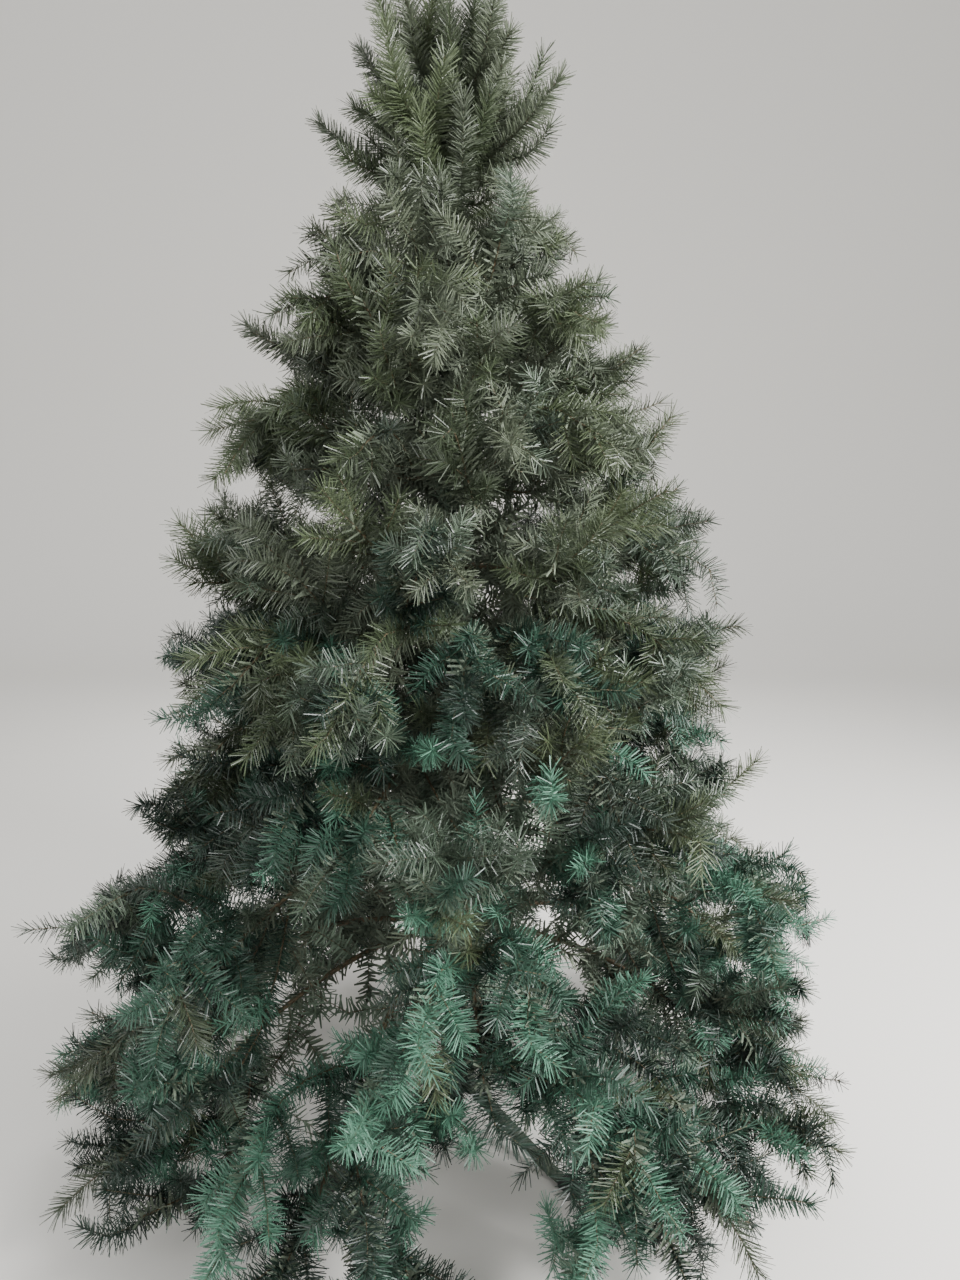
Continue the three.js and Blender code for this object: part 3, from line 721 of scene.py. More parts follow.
def grow_leader():
    """The shoots that fan out from the short stem on the pole's top, and that stem's two ends."""
    random = SeededRange(LEADER_SEED)
    foot = np.array([0, 0, POLE_TOP + GAP])
    top = np.array([0, 0, POLE_TOP + LEADER_STEM], float)
    upright = unit(np.array([*LEADER_TILT, 1.0]))
    size = (TREE_HEIGHT - top[2]) / LEADER_LENGTH
    length, half = size * LEADER_LENGTH, size * LEADER_HALF_WIDTH
    sprays = [make_spray(top - upright * END_TWIG, top, upright, LEADER_TOP_ROLL, length, half)]
    for i in range(LEADER_SHOOTS):
        share = i / (LEADER_SHOOTS - 1)
        root = mix(foot, top, mix(*SHOOT_STRETCH, share))
        heading = SHOOT_FIRST + SHOOT_STEP * i + random(*SHOOT_SHIFT)
        lean = math.radians(mix(*SHOOT_LEAN, share) + random(*SHOOT_LEAN_SHIFT))
        along = outward(heading) * math.sin(lean) + UP * math.cos(lean)
        size = mix(*SHOOT_SIZE, share)
        spare = LEADER_REACH - size * LEADER_LENGTH * math.sin(lean)
        bare = max(SHORTEST_TWIG, SHOOT_BARE_SHARE * spare)
        length, half = size * LEADER_LENGTH, size * LEADER_HALF_WIDTH
        shoot_foot = root + along * bare
        sprays.append(make_spray(root, shoot_foot, along, random(*SHOOT_ROLL), length, half))
    return Bend(foot, (foot + top) / 2, top), sprays


@lru_cache(maxsize=1)
def grown_tree():
    """Every mass and the leader, grown once."""
    masses = [grow_mass(i, k) for i, tier in enumerate(TIERS) for k in range(len(tier.headings))]
    return masses, grow_leader()


# Needled stretches, gathered as rows: a curve's three points, the end's curl, the way across that
# the needles lie to, the kind, the shade, a share of the kind's density and the core's radii
Stretch = namedtuple("Stretch", "curve curl across kind shade share radii")
STILL = np.zeros(3)


def tone_with_painted_light(random, height, kind):
    """0 light, 1 middle or 2 dark, with more contrast low down on the tree, where the dark ones are
    painted shade and the light blue-green ones painted highlights, and paler at its top as painted light.
    """
    draw = random(0, 1)
    lights = BLUE_HIGHLIGHT_SHARES if kind == "blue_green" else LIGHT_AND_PAINTED_LIGHT_SHARES
    light = np.interp(height, PAINTED_LIGHT_HEIGHTS, lights)
    dark = np.interp(height, PAINTED_LIGHT_HEIGHTS, DARK_AND_PAINTED_SHADE_SHARES)
    return 0 if draw < light else 2 if draw > 1 - dark else 1


def kind_of(random, height):
    """Full tips are commoner low down and olive ones higher up, and the full ones turn from
    blue-green over mid green to grey-green with height. The blue-green is the tips' own. Its turn to
    mid green and grey-green is painted light: cooler light low down, greyer and paler light higher up."""
    full = np.interp(height, FULL_HEIGHTS, FULL_SHARES)
    if random(0, 1) > full:
        return "olive"
    if random(0, 1) < np.interp(height, PAINTED_HUE_HEIGHTS, BLUE_SHARES):
        return "blue_green"
    is_mid = random(0, 1) < np.interp(height, PAINTED_HUE_HEIGHTS, MID_SHARES)
    return "mid_green" if is_mid else "grey_green"


def needle_share(point):
    """The share of its kind's needles that a stretch gets by how far out it ends: all of them at
    the crown's outside, and INNER_SHARE of them, but wider ones, round the pole."""
    out = math.hypot(point[0], point[1]) / np.interp(point[2], CROWN_HEIGHTS, CROWN_RADII)
    if point[2] > POLE_TOP:
        return mix(1.0, LEADER_SHARE, min(1.0, (point[2] - POLE_TOP) / LEADER_STEM))
    return float(np.interp(out, INNER_STRETCH, (INNER_SHARE, 1.0)))


def tip_stretch(random, first, last, along, across, kind, shade):
    """A needled tip from first to last: it leaves its carrier at an angle and bends forward, and
    on many full tips the end curls over. On the leader it turns up instead."""
    normal = np.cross(along, across)
    way = last - first
    reach = np.linalg.norm(way)
    middle = (first + last) / 2 + TIP_SWELL * (way - along * (way @ along))
    middle = middle + (normal * random(-1, 1) + across * random(-1, 1)) * TIP_BEND * reach
    curl = STILL
    if last[2] > POLE_TOP + LEADER_STEM / 2:
        curl = UP * random(*LEADER_RISE) * reach
    elif random(0, 1) < CURL_CHANCES[kind]:
        turn = random(0, 2 * math.pi)
        sideways = across * math.cos(turn) + normal * math.sin(turn) - CURL_SAG * UP
        curl = (unit(sideways) * random(*CURL_ASIDE) - unit(way) * random(*CURL_BACK)) * reach
    return Stretch(Bend(first, middle, last), curl, across, kind, shade, needle_share(last), TIP_RADII)


def twig_curve(spray):
    """The twig from its root to its foot, where it has swung round to the spray's own direction."""
    bare = np.linalg.norm(spray.foot - spray.root)
    return Bend(spray.root, spray.foot - spray.along * TWIG_ENTRY * bare, spray.foot)


def spray_stretches(random, spray, plan):
    """The tips of one spray by its plan, with its needled twig and rib."""
    height = spray.foot[2]
    # Kind and shade by height carry painted light: the hue turns grey-green upward, and the shades are
    # darker low down and paler at the top
    kind = kind_of(random, height)
    shade = tone_with_painted_light(random, height, kind)
    phase = random(0, 2 * math.pi)
    rows = []
    for place, (start, end, off) in enumerate(plan):
        if off > 0 and random(0, 1) > np.interp(height, SIDE_TIP_HEIGHTS, SIDE_TIP_CHANCES):
            continue
        own = kind_of(random, height) if random(0, 1) < OTHER_KIND_CHANCE else kind
        own_shade = tone_with_painted_light(random, height, own) if random(0, 1) < OTHER_SHADE_CHANCE else shade
        turn = phase + place * GOLDEN_TURN + random(-TURN_SHIFT, TURN_SHIFT)
        first = spray.foot + spray.along * spray.length * start
        last = (
            spray.foot
            + spray.along * spray.length * (end + random(*TIP_END_SHIFT))
            + spray.across * spray.half_width * off * math.cos(turn)
            + spray.normal * spray.half_width * off * BLADE_DEPTH * math.sin(turn)
        )
        last[2] = max(last[2], FLOOR_CLEARANCE)
        rows.append(tip_stretch(random, first, last, spray.along, spray.across, own, own_shade))
    share = needle_share(spray.foot)
    rows.append(Stretch(twig_curve(spray), STILL, spray.across, kind, shade, share, TWIG_RADII))
    if plan is SPRAY_TIPS:
        end = mix(spray.foot, spray.corners[0], RIB_SHARE)
        rib = Bend(spray.foot, (spray.foot + end) / 2, end)
        rows.append(Stretch(rib, STILL, spray.across, kind, shade, INNER_SHARE, TWIG_RADII))
    return rows


def fill_stretches(random, carrier, length, space, height):
    """Short tips that stand off a bough, stem or twig at golden turns, every FILL_SPACING. One that
    would leave the mass's space is skipped, where a space is given."""
    tips = []
    count = int(length / FILL_SPACING)
    for i in range(count):
        t = (i + 0.5 + random(-FILL_SHIFT, FILL_SHIFT)) / count
        first = carrier.at(t)
        along = carrier.tangent(t)
        aside = rolled(along, GOLDEN_TURN * i + random(-TURN_SHIFT, TURN_SHIFT))
        spread = math.radians(random(*FILL_SPREAD))
        reach = random(*FILL_LENGTH)
        last = first + (along * math.cos(spread) + aside * math.sin(spread)) * reach
        kind = kind_of(random, height)
        # Only the light and middle shades: painted light inside the crown
        shade = int(random(0, FILL_SHADES))
        if space is None or is_inside(space, last, 0):
            tips.append(tip_stretch(random, first, last, along, aside, kind, shade))
    return tips


def pole_stretches(random, count, heights):
    """Short tips wired straight round the pole and its top stem, which rise outward between the
    limbs."""
    tips = []
    for i in range(count):
        height = mix(*heights, i / (count - 1))
        away = outward(math.degrees(GOLDEN_TURN * i) + random(*POLE_TIP_SWING))
        rise = math.radians(random(*POLE_TIP_RISE))
        along = away * math.cos(rise) + UP * math.sin(rise)
        radius = POLE_RADII[-1] if height < POLE_TOP else STEM_RADII[-1]
        first = away * radius + UP * height
        reach = np.interp(height, POLE_REACH_HEIGHTS, POLE_TIP_REACH) * random(*POLE_TIP_SPAN)
        across = unit(np.cross(along, UP))
        kind = kind_of(random, height)
        last = first + along * reach
        # Only the light and middle shades: painted light inside the crown
        tips.append(tip_stretch(random, first, last, along, across, kind, i % FILL_SHADES))
    return tips


@lru_cache(maxsize=1)
def needled_tree():
    """Every needled stretch of the tree: tips, and the wound stems and twigs that carry them."""
    masses, (leader_stem, leader_sprays) = grown_tree()
    random = SeededRange(FILL_SEED)
    rows = []
    for mass in masses:
        height = mass.tier.hook
        level = unit(np.cross(mass.stem.tangent(0.5), UP))
        # The wound needles take the dark shade: painted shade inside the crown
        rows.append(Stretch(mass.stem, STILL, level, "wound", PAINTED_SHADE_INSIDE, INNER_SHARE, None))
        if mass.limb_share > 0:
            bough = mass.limb.stretch(BOUGH_FILL_START * mass.limb_share, mass.limb_share)
            rows.append(Stretch(bough, STILL, level, "wound", PAINTED_SHADE_INSIDE, INNER_SHARE, None))
            rows += fill_stretches(random, bough, bough.span(), None, height)
        rows += fill_stretches(random, mass.stem, mass.stem.span() * STEM_FILL_SHARE, mass.space, height)
        for spray in mass.sprays:
            rows += spray_stretches(random, spray, SPRAY_TIPS)
            twig = twig_curve(spray)
            rows += fill_stretches(random, twig, twig.span(), mass.space, spray.foot[2])
    # The leader's stem also takes the dark shade: painted shade among its shoots
    rows.append(Stretch(leader_stem, STILL, outward(QUARTER), "wound", PAINTED_SHADE_INSIDE, 1.0, None))
    rows += pole_stretches(random, POLE_TIPS, POLE_TIP_HEIGHTS)
    for spray in leader_sprays:
        rows += spray_stretches(random, spray, LEADER_TIPS)
    return rows + pole_stretches(random, LOW_POLE_TIPS, LOW_POLE_TIP_HEIGHTS)


def curve_arrays(rows):
    """The first, middle and last points of the rows' curves and their curls, as four arrays."""
    return np.array([(r.curve.first, r.curve.middle, r.curve.last, r.curl) for r in rows]).transpose(1, 0, 2)


def along_curves(first, middle, last, curl, t):
    """Points and unit tangents: the quadratic curve plus curl times the square of how far t is past
    the half, doubled."""
    t = t[..., None]
    past = np.maximum(0, 2 * t - 1)
    points = (1 - t) ** 2 * first + 2 * t * (1 - t) * middle + t**2 * last + curl * past**2
    slope = 2 * (1 - t) * (middle - first) + 2 * t * (last - middle) + 4 * curl * past
    return points, unit(slope)


def needle_corners(rows, sizes, seed):
    """Four corners of every needle of the rows, with the row that each belongs to.

    Needle k of a stretch leaves the core at its share k of the length, turned k golden turns round
    it, and leans forward more towards the end, where the last ones close round the tip. It is a
    strip that narrows and twists from its root to its end, and its width lies along the core, as
    in a fringe cut from film, give or take a normal spread of NEEDLE_SPIN."""
    chance = np.random.default_rng(seed)
    kinds = [KINDS[row.kind] for row in rows]
    shares = np.array([row.share for row in rows])
    lengths = np.array([row.curve.span() for row in rows])
    density = np.array([kind.density for kind in kinds]) * shares
    counts = np.maximum(LEAST_NEEDLES, lengths * density * sizes.density_scale).astype(int)
    row = np.repeat(np.arange(len(rows)), counts)
    total = len(row)
    k = np.arange(total) - np.repeat(np.cumsum(counts) - counts, counts)
    share = (k + 0.5) / counts[row]
    t = np.clip(mix(NEEDLE_START, 1, share) + chance.normal(0, NEEDLE_SHIFT, total), 0, 1)

    def of_kind(part):
        return np.array([getattr(kind, part) for kind in kinds])[row]

    first, middle, last, curl = (part[row] for part in curve_arrays(rows))
    core, tangent = along_curves(first, middle, last, curl, t)
    normal = unit(np.cross(tangent, np.array([r.across for r in rows])[row]))
    beside = np.cross(normal, tangent)

    turn = GOLDEN_TURN * k + chance.normal(0, NEEDLE_TURN, total)
    turn = turn - of_kind("flatness") * np.sin(2 * turn)
    closing = np.clip((share - CLOSING_START) / (1 - CLOSING_START), 0, 1)
    closing = closing * chance.uniform(*CLOSING_SHARES, total) * of_kind("closing")
    lean = mix(of_kind("root_lean"), of_kind("end_lean"), t) * (1 - closing)
    lean = np.radians(lean + chance.normal(0, NEEDLE_LEAN, total))
    aside = np.cos(turn)[:, None] * beside + np.sin(turn)[:, None] * normal
    way = np.cos(lean)[:, None] * tangent + np.sin(lean)[:, None] * aside
    length = of_kind("length") * sizes.length_scale * chance.uniform(*LENGTH_SHARES, total)
    length = length * mix(ROOT_LENGTH_SHARE, 1, np.sin(math.pi * np.minimum(1, t + SWELL_SHIFT)))
    end = core + way * length[:, None]
    end[:, 2] = np.maximum(end[:, 2] - NEEDLE_SAG * length, LOWEST_END)
    core[:, 2] = np.maximum(core[:, 2], LOWEST_CORE)

    widening = np.minimum(1, shares)[row] ** -INNER_WIDENING
    half = (of_kind("width") * widening * sizes.width_scale / 2)[:, None]
    spin = math.pi / 2 + chance.normal(0, NEEDLE_SPIN, total)
    twist = sizes.twist * chance.uniform(-1, 1, total)
    flat = unit(np.cross(way, tangent + NUDGE))
    edge = np.cross(way, flat)

    def side(angle):
        return np.cos(angle)[:, None] * flat + np.sin(angle)[:, None] * edge

    wide = side(spin) * half
    narrow = side(spin + twist) * half * sizes.end_width
    return np.stack([core - wide, core + wide, end + narrow, end - narrow], axis=1), row


def fill_mesh(name, vertices, quads, triangles=(), shades=None):
    """A mesh object from arrays of vertices, four-cornered and three-cornered faces."""
    corners = np.concatenate([np.ravel(quads), np.ravel(triangles)]).astype(np.int32)
    after = 4 * len(quads)
    starts = np.concatenate([np.arange(0, after, 4), np.arange(after, len(corners), 3)])
    mesh = bpy.data.meshes.new(name)
    mesh.vertices.add(len(vertices))
    mesh.loops.add(len(corners))
    mesh.polygons.add(len(starts))
    mesh.vertices.foreach_set("co", np.ravel(vertices).astype(np.float32))
    mesh.loops.foreach_set("vertex_index", corners)
    mesh.polygons.foreach_set("loop_start", starts.astype(np.int32))
    if shades is not None:
        mesh.polygons.foreach_set("material_index", shades.astype(np.int32))
    mesh.update(calc_edges=True)
    mesh.validate()
    piece = bpy.data.objects.new(name, mesh)
    bpy.context.scene.collection.objects.link(piece)
    return piece


def skin(steps, sides, inside_out=False):
    """Faces over rings of corners: quads between neighbouring rings, and a fan over each end to one
    of the two middle points that follow the rings' corners."""
    ring = np.arange(steps * sides).reshape(steps, sides)
    after = np.roll(ring, -1, axis=1)
    start, end = np.full(sides, ring.size), np.full(sides, ring.size + 1)
    quads = np.stack([ring[:-1], after[:-1], after[1:], ring[1:]], axis=-1).reshape(-1, 4)
    fans = np.concatenate([
        np.stack([start, after[0], ring[0]], axis=-1), np.stack([end, ring[-1], after[-1]], axis=-1)
    ])
    if inside_out:
        return quads[:, [0, 3, 2, 1]], fans[:, [0, 2, 1]]
    return quads, fans


def tube_arrays(points, radii, sides, cross):
    """Tubes along polylines, all of one number of points: a ring of the given radius round each
    point, square to the line there, and a fan over each end. radii holds a number for each point,
    or for each point and side."""
    tubes, steps = points.shape[:2]
    tangent = unit(np.gradient(points, axis=1))
    beside = unit(np.cross(tangent, cross[:, None, :]))
    above = np.cross(tangent, beside)
    angle = 2 * math.pi * np.arange(sides) / sides
    radii = radii[..., None] if radii.ndim == 2 else radii
    ring = (
        points[:, :, None, :]
        + (radii * np.cos(angle))[..., None] * beside[:, :, None, :]
        + (radii * np.sin(angle))[..., None] * above[:, :, None, :]
    )
    vertices = np.concatenate([ring.reshape(tubes, steps * sides, 3), points[:, [0, -1]]], axis=1)
    offsets = np.arange(tubes)[:, None, None] * (steps * sides + 2)
    quads, triangles = (faces + offsets for faces in skin(steps, sides))
    return vertices.reshape(-1, 3), quads.reshape(-1, 4), triangles.reshape(-1, 3)


def joined(parts):
    """Arrays of several meshes as one."""
    parts = list(parts)
    offsets = np.cumsum([0] + [len(vertices) for vertices, _, _ in parts])
    faces = [
        np.concatenate([part[place] + offset for part, offset in zip(parts, offsets)]) for place in (1, 2)
    ]
    return np.concatenate([vertices for vertices, _, _ in parts]), *faces


def wound_limb(curve, radii, sides, rings_a_turn):
    """A limb wound with plastic strip. Its radius at length s and angle a swells with a saw wave of
    s over the strip's pitch plus a over a whole turn, so that the strip's edge runs round it as a
    screw thread does."""
    rough = curve.at(np.linspace(0, 1, LENGTH_STEPS))
    length = np.linalg.norm(np.diff(rough, axis=0), axis=1).sum()
    steps = max(LEAST_RINGS, int(length / STRIP_PITCH * rings_a_turn))
    t = np.linspace(0, 1, steps)
    angle = np.arange(sides) / sides
    phase = (t[:, None] * length / STRIP_PITCH + angle[None, :]) % 1
    plain = mix(radii[0], radii[1], t)[:, None]
    swell = plain * (1 - STRIP_RELIEF * phase**STRIP_POWER)
    points = curve.at(t)
    cross = UP if abs(curve.tangent(0.5)[2]) < STEEP else LEVEL
    return tube_arrays(points[None], swell[None], sides, cross[None])


def turned(profile, sides=ROUND_SIDES):
    """A solid of revolution about the pole's line: the profile's radius and height pairs, carried
    round, and closed on the line at both ends."""
    profile = np.asarray(profile, float)
    radius, height = profile[1:-1].T[..., None]
    angle = 2 * math.pi * np.arange(sides) / sides
    ring = np.stack(np.broadcast_arrays(radius * np.cos(angle), radius * np.sin(angle), height), axis=-1)
    ends = np.array([[0, 0, profile[0][1]], [0, 0, profile[-1][1]]])
    return np.concatenate([ring.reshape(-1, 3), ends]), *skin(len(radius), sides)


def rounded(profile, bevel, steps=3):
    """A profile whose inner corners are cut by short arcs, each a quadratic curve between the points
    that lie the bevel's length before and after the corner, or a share of a side if that is less."""
    profile = [np.asarray(p, float) for p in profile]
    result = [profile[0]]
    for before, corner, after in zip(profile, profile[1:], profile[2:]):
        cut = min(bevel, *(LONGEST_CUT * np.linalg.norm(other - corner) for other in (before, after)))
        start = corner + unit(before - corner) * cut
        end = corner + unit(after - corner) * cut
        result += list(Bend(start, corner, end).at(np.linspace(0, 1, steps + 1)))
    result.append(profile[-1])
    return np.array(result)


def swept_bar(path, widths, depths, corner, arc=4):
    """A bar of rounded rectangular section carried along a path in the XZ plane: at each point the
    section stands square to the path, its width along Y."""
    path = np.asarray(path, float)
    slope = unit(np.gradient(path, axis=0))
    across = np.stack([-slope[:, 1], slope[:, 0]], axis=1)
    quarter = np.linspace(0, math.pi / 2, arc + 1)
    angle = np.concatenate([quarter + index * math.pi / 2 for index in range(4)])
    side_y, side_z = np.repeat([(1, 1), (-1, 1), (-1, -1), (1, -1)], arc + 1, axis=0).T
    y = side_y * (np.asarray(widths)[:, None] / 2 - corner) + corner * np.cos(angle)
    off = side_z * (np.asarray(depths)[:, None] / 2 - corner) + corner * np.sin(angle)
    x, z = (path[:, None, i] + off * across[:, None, i] for i in (0, 1))
    ends = np.insert(path[[0, -1]], 1, 0, axis=1)
    vertices = np.concatenate([np.stack([x, y, z], axis=-1).reshape(-1, 3), ends])
    return vertices, *skin(len(path), len(angle), inside_out=True)


def reshaped(part, change):
    """A mesh's arrays with its vertices worked out anew from their x, y and z."""
    vertices, *faces = part
    return np.stack(change(*vertices.T), axis=1), *faces


def turned_about_z(part, degrees):
    """A mesh's arrays turned about the pole's line."""
    c, s = math.cos(math.radians(degrees)), math.sin(math.radians(degrees))
    return reshaped(part, lambda x, y, z: (c * x - s * y, s * x + c * y, z))


def repeated(part, count, first=0):
    """A mesh's arrays once for each of so many equal turns about the pole's line."""
    return joined(turned_about_z(part, first + 360 / count * i) for i in range(count))


def add_piece(name, part, materials, replaced, shades=None):
    """A piece of the tree from arrays in millimetres, riding on the tree's one body."""
    vertices, quads, triangles = part
    piece = fill_mesh(name, vertices * MM, quads, triangles, shades)
    for material in materials:
        piece.data.materials.append(material)
    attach(piece, BODY)
    if replaced:
        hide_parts(*replaced)


def add_node(tree, kind, inputs=None, **settings):
    """A shader node with its settings, and inputs given as sockets to link or as plain values."""
    node = tree.nodes.new(kind)
    for name, value in settings.items():
        setattr(node, name, value)
    for label, value in (inputs or {}).items():
        if isinstance(value, bpy.types.NodeSocket):
            tree.links.new(value, node.inputs[label])
        else:
            node.inputs[label].default_value = value
    return node


def make_group(name, colours, amounts=()):
    """A node group with colours and amounts going in, and colour, roughness and height coming out."""
    group = bpy.data.node_groups.new(name, "ShaderNodeTree")
    sockets = [("INPUT", label, "Color") for label in colours]
    sockets += [("INPUT", label, "Float") for label in amounts]
    sockets.append(("OUTPUT", "Colour", "Color"))
    sockets += [("OUTPUT", label, "Float") for label in ("Roughness", "Height")]
    for side, label, kind in sockets:
        group.interface.new_socket(label, in_out=side, socket_type=f"NodeSocket{kind}")
    return group, add_node(group, "NodeGroupInput").outputs


def object_place(tree):
    """The object's own coordinates."""
    return add_node(tree, "ShaderNodeTexCoord").outputs["Object"]


def add_noise(tree, vector, scale, detail=2.0, roughness=0.55):
    """A noise texture on a vector."""
    inputs = {"Vector": vector, "Scale": scale, "Detail": detail, "Roughness": roughness}
    return add_node(tree, "ShaderNodeTexNoise", inputs).outputs["Fac"]


def add_range(tree, value, low, high, to_low=0.0, to_high=1.0):
    """A value carried from one range to another, held at its ends."""
    inputs = {"Value": value, "From Min": low, "From Max": high, "To Min": to_low, "To Max": to_high}
    return add_node(tree, "ShaderNodeMapRange", inputs).outputs["Result"]


def add_mix(tree, factor, first, second):
    """A mix of two colours by a factor. The node's sockets go by number, because those for colours
    have the same names as those for plain values."""
    return add_node(tree, "ShaderNodeMix", {0: factor, 6: first, 7: second}, data_type="RGBA").outputs[2]


def add_product(tree, first, second):
    """Two values multiplied."""
    return add_node(tree, "ShaderNodeMath", {0: first, 1: second}, operation="MULTIPLY").outputs[0]


def add_relief(tree, shader, height, relief):
    """A height joined to a shader's normal as relief of a strength and a depth in metres."""
    inputs = {"Height": height, "Strength": relief[0], "Distance": relief[1]}
    bump = add_node(tree, "ShaderNodeBump", inputs)
    tree.links.new(bump.outputs["Normal"], shader.inputs["Normal"])


@lru_cache(maxsize=1)
def enamel_group():
    """Sprayed enamel: a fine orange peel, a little dust on what faces up, and worn spots."""
    amounts = ("Dust amount", "Wear amount")
    group, source = make_group("Sprayed enamel", ("Paint", "Worn", "Dust"), amounts)
    place = object_place(group)
    patches = add_noise(group, place, scale=38, detail=5, roughness=0.7)
    worn = add_range(group, patches, low=0.62, high=0.7)
    normal = add_node(group, "ShaderNodeNewGeometry").outputs["Normal"]
    upward = add_node(group, "ShaderNodeSeparateXYZ", {0: normal}).outputs["Z"]
    grains = add_noise(group, place, scale=150, detail=6, roughness=0.8)
    speckle = add_range(group, grains, low=0.4, high=0.75)
    dusty = add_product(group, add_range(group, upward, low=0.2, high=1.0), speckle)
    worn_share = add_product(group, worn, source["Wear amount"])
    dust_share = add_product(group, dusty, source["Dust amount"])
    colour = add_mix(group, worn_share, source["Paint"], source["Worn"])
    results = {
        "Colour": add_mix(group, dust_share, colour, source["Dust"]),
        "Roughness": add_range(group, dusty, low=0, high=1, to_low=0.34, to_high=0.75),
        "Height": add_noise(group, place, scale=420),
    }
    add_node(group, "NodeGroupOutput", results)
    return group


@lru_cache(maxsize=1)
def wound_strip_group():
    """Wound plastic strip: dull brown and green flecks along the wire, with a fine fibre."""
    group, source = make_group("Wound strip", ("Strip", "Fleck"))
    place = object_place(group)
    spots = add_noise(group, place, scale=95, detail=4, roughness=0.7)
    flecks = add_range(group, spots, low=0.44, high=0.62)
    fibre = add_noise(group, place, scale=900)
    results = {
        "Colour": add_mix(group, flecks, source["Strip"], source["Fleck"]),
        "Roughness": add_range(group, fibre, *NOISE_RANGE, to_low=0.5, to_high=0.75),
        "Height": fibre,
    }
    add_node(group, "NodeGroupOutput", results)
    return group


def chosen_colours():
    """The colours as the user has set them."""
    return bpy.context.scene.tree_colours


def plain_material(name, colour, roughness, metallic=0.0):
    """A material with its own Principled shader and constant values on it."""
    material = bpy.data.materials.new(name)
    material.use_nodes = True
    shader = material.node_tree.nodes["Principled BSDF"]
    shader.inputs["Base Color"].default_value = (*colour, 1)
    shader.inputs["Roughness"].default_value = roughness
    shader.inputs["Metallic"].default_value = metallic
    material.diffuse_color = (*colour, 1)
    return material, shader


def grouped_material(name, group, inputs, colour, relief):
    """A material that takes colour, roughness and relief from a node group."""
    material, shader = plain_material(name, colour, roughness=0.5)
    tree = material.node_tree
    results = add_node(tree, "ShaderNodeGroup", inputs, node_tree=group).outputs
    tree.links.new(results["Colour"], shader.inputs["Base Color"])
    tree.links.new(results["Roughness"], shader.inputs["Roughness"])
    add_relief(tree, shader, results["Height"], relief)
    return material


@lru_cache(maxsize=None)
def enamel(dust, wear):
    """Dark green enamel of the pole and the stand."""
    paint = chosen_colours().paint
    inputs = {
        "Paint": (*paint, 1),
        "Worn": WORN_COLOUR,
        "Dust": DUST_COLOUR,
        "Dust amount": dust,
        "Wear amount": wear,
    }
    return grouped_material(f"Green enamel {dust:.2f}", enamel_group(), inputs, paint, ENAMEL_RELIEF)


@lru_cache(maxsize=1)
def wound_strip():
    """Brown strip of the boughs, stems and twigs."""
    colours = chosen_colours()
    inputs = {"Strip": (*colours.wire, 1), "Fleck": (*colours.olive_dark, 1)}
    return grouped_material("Wound strip", wound_strip_group(), inputs, colours.wire, FIBRE_RELIEF)


@lru_cache(maxsize=1)
def plated_steel():
    """Dull plated steel of the screws and pins, with a brushed roughness."""
    material, shader = plain_material("Plated steel", chosen_colours().steel, roughness=0.35, metallic=1.0)
    tree = material.node_tree
    streaks = add_noise(tree, object_place(tree), scale=260, detail=4, roughness=0.7)
    dulled = add_range(tree, streaks, *NOISE_RANGE, to_low=0.28, to_high=0.5)
    tree.links.new(dulled, shader.inputs["Roughness"])
    return material


@lru_cache(maxsize=1)
def rubber():
    """Black rubber of the feet, with a fine moulded grain."""
    material, shader = plain_material("Rubber", chosen_colours().rubber, roughness=0.8)
    tree = material.node_tree
    grain = add_noise(tree, object_place(tree), scale=700)
    add_relief(tree, shader, grain, RUBBER_RELIEF)
    dulled = add_range(tree, grain, *NOISE_RANGE, to_low=0.7, to_high=0.9)
    tree.links.new(dulled, shader.inputs["Roughness"])
    return material


@lru_cache(maxsize=None)
def needle_material(kind, shade, glossy):
    """Thin plastic of one tint, glossy on the outer tips and dull inside the crown, where the tint is
    blended to the pale inner green as painted light. There are too many needles for a pattern on each,
    so the tint sits on the shader's own sockets."""
    label = f"{kind}_{SHADES[shade]}"
    colour = np.array(getattr(chosen_colours(), label))
    if not glossy:
        # The pale inner green is blended over the tint: painted light inside the crown
        painted_light_colour = mix(colour, np.array(chosen_colours().inner), INNER_PAINTED_LIGHT_BLEND)
        return plain_material(f"Inner needles {label}", painted_light_colour, INNER_ROUGHNESS)[0]
    material, shader = plain_material(f"Needles {label}", colour, NEEDLE_ROUGHNESS[kind])
    shader.inputs["Specular IOR Level"].default_value = NEEDLE_SPECULAR[kind]
    return material


def nodes_named(*starts):
    """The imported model's nodes whose names begin with any of the given words."""
    return sorted(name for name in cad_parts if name.startswith(starts))


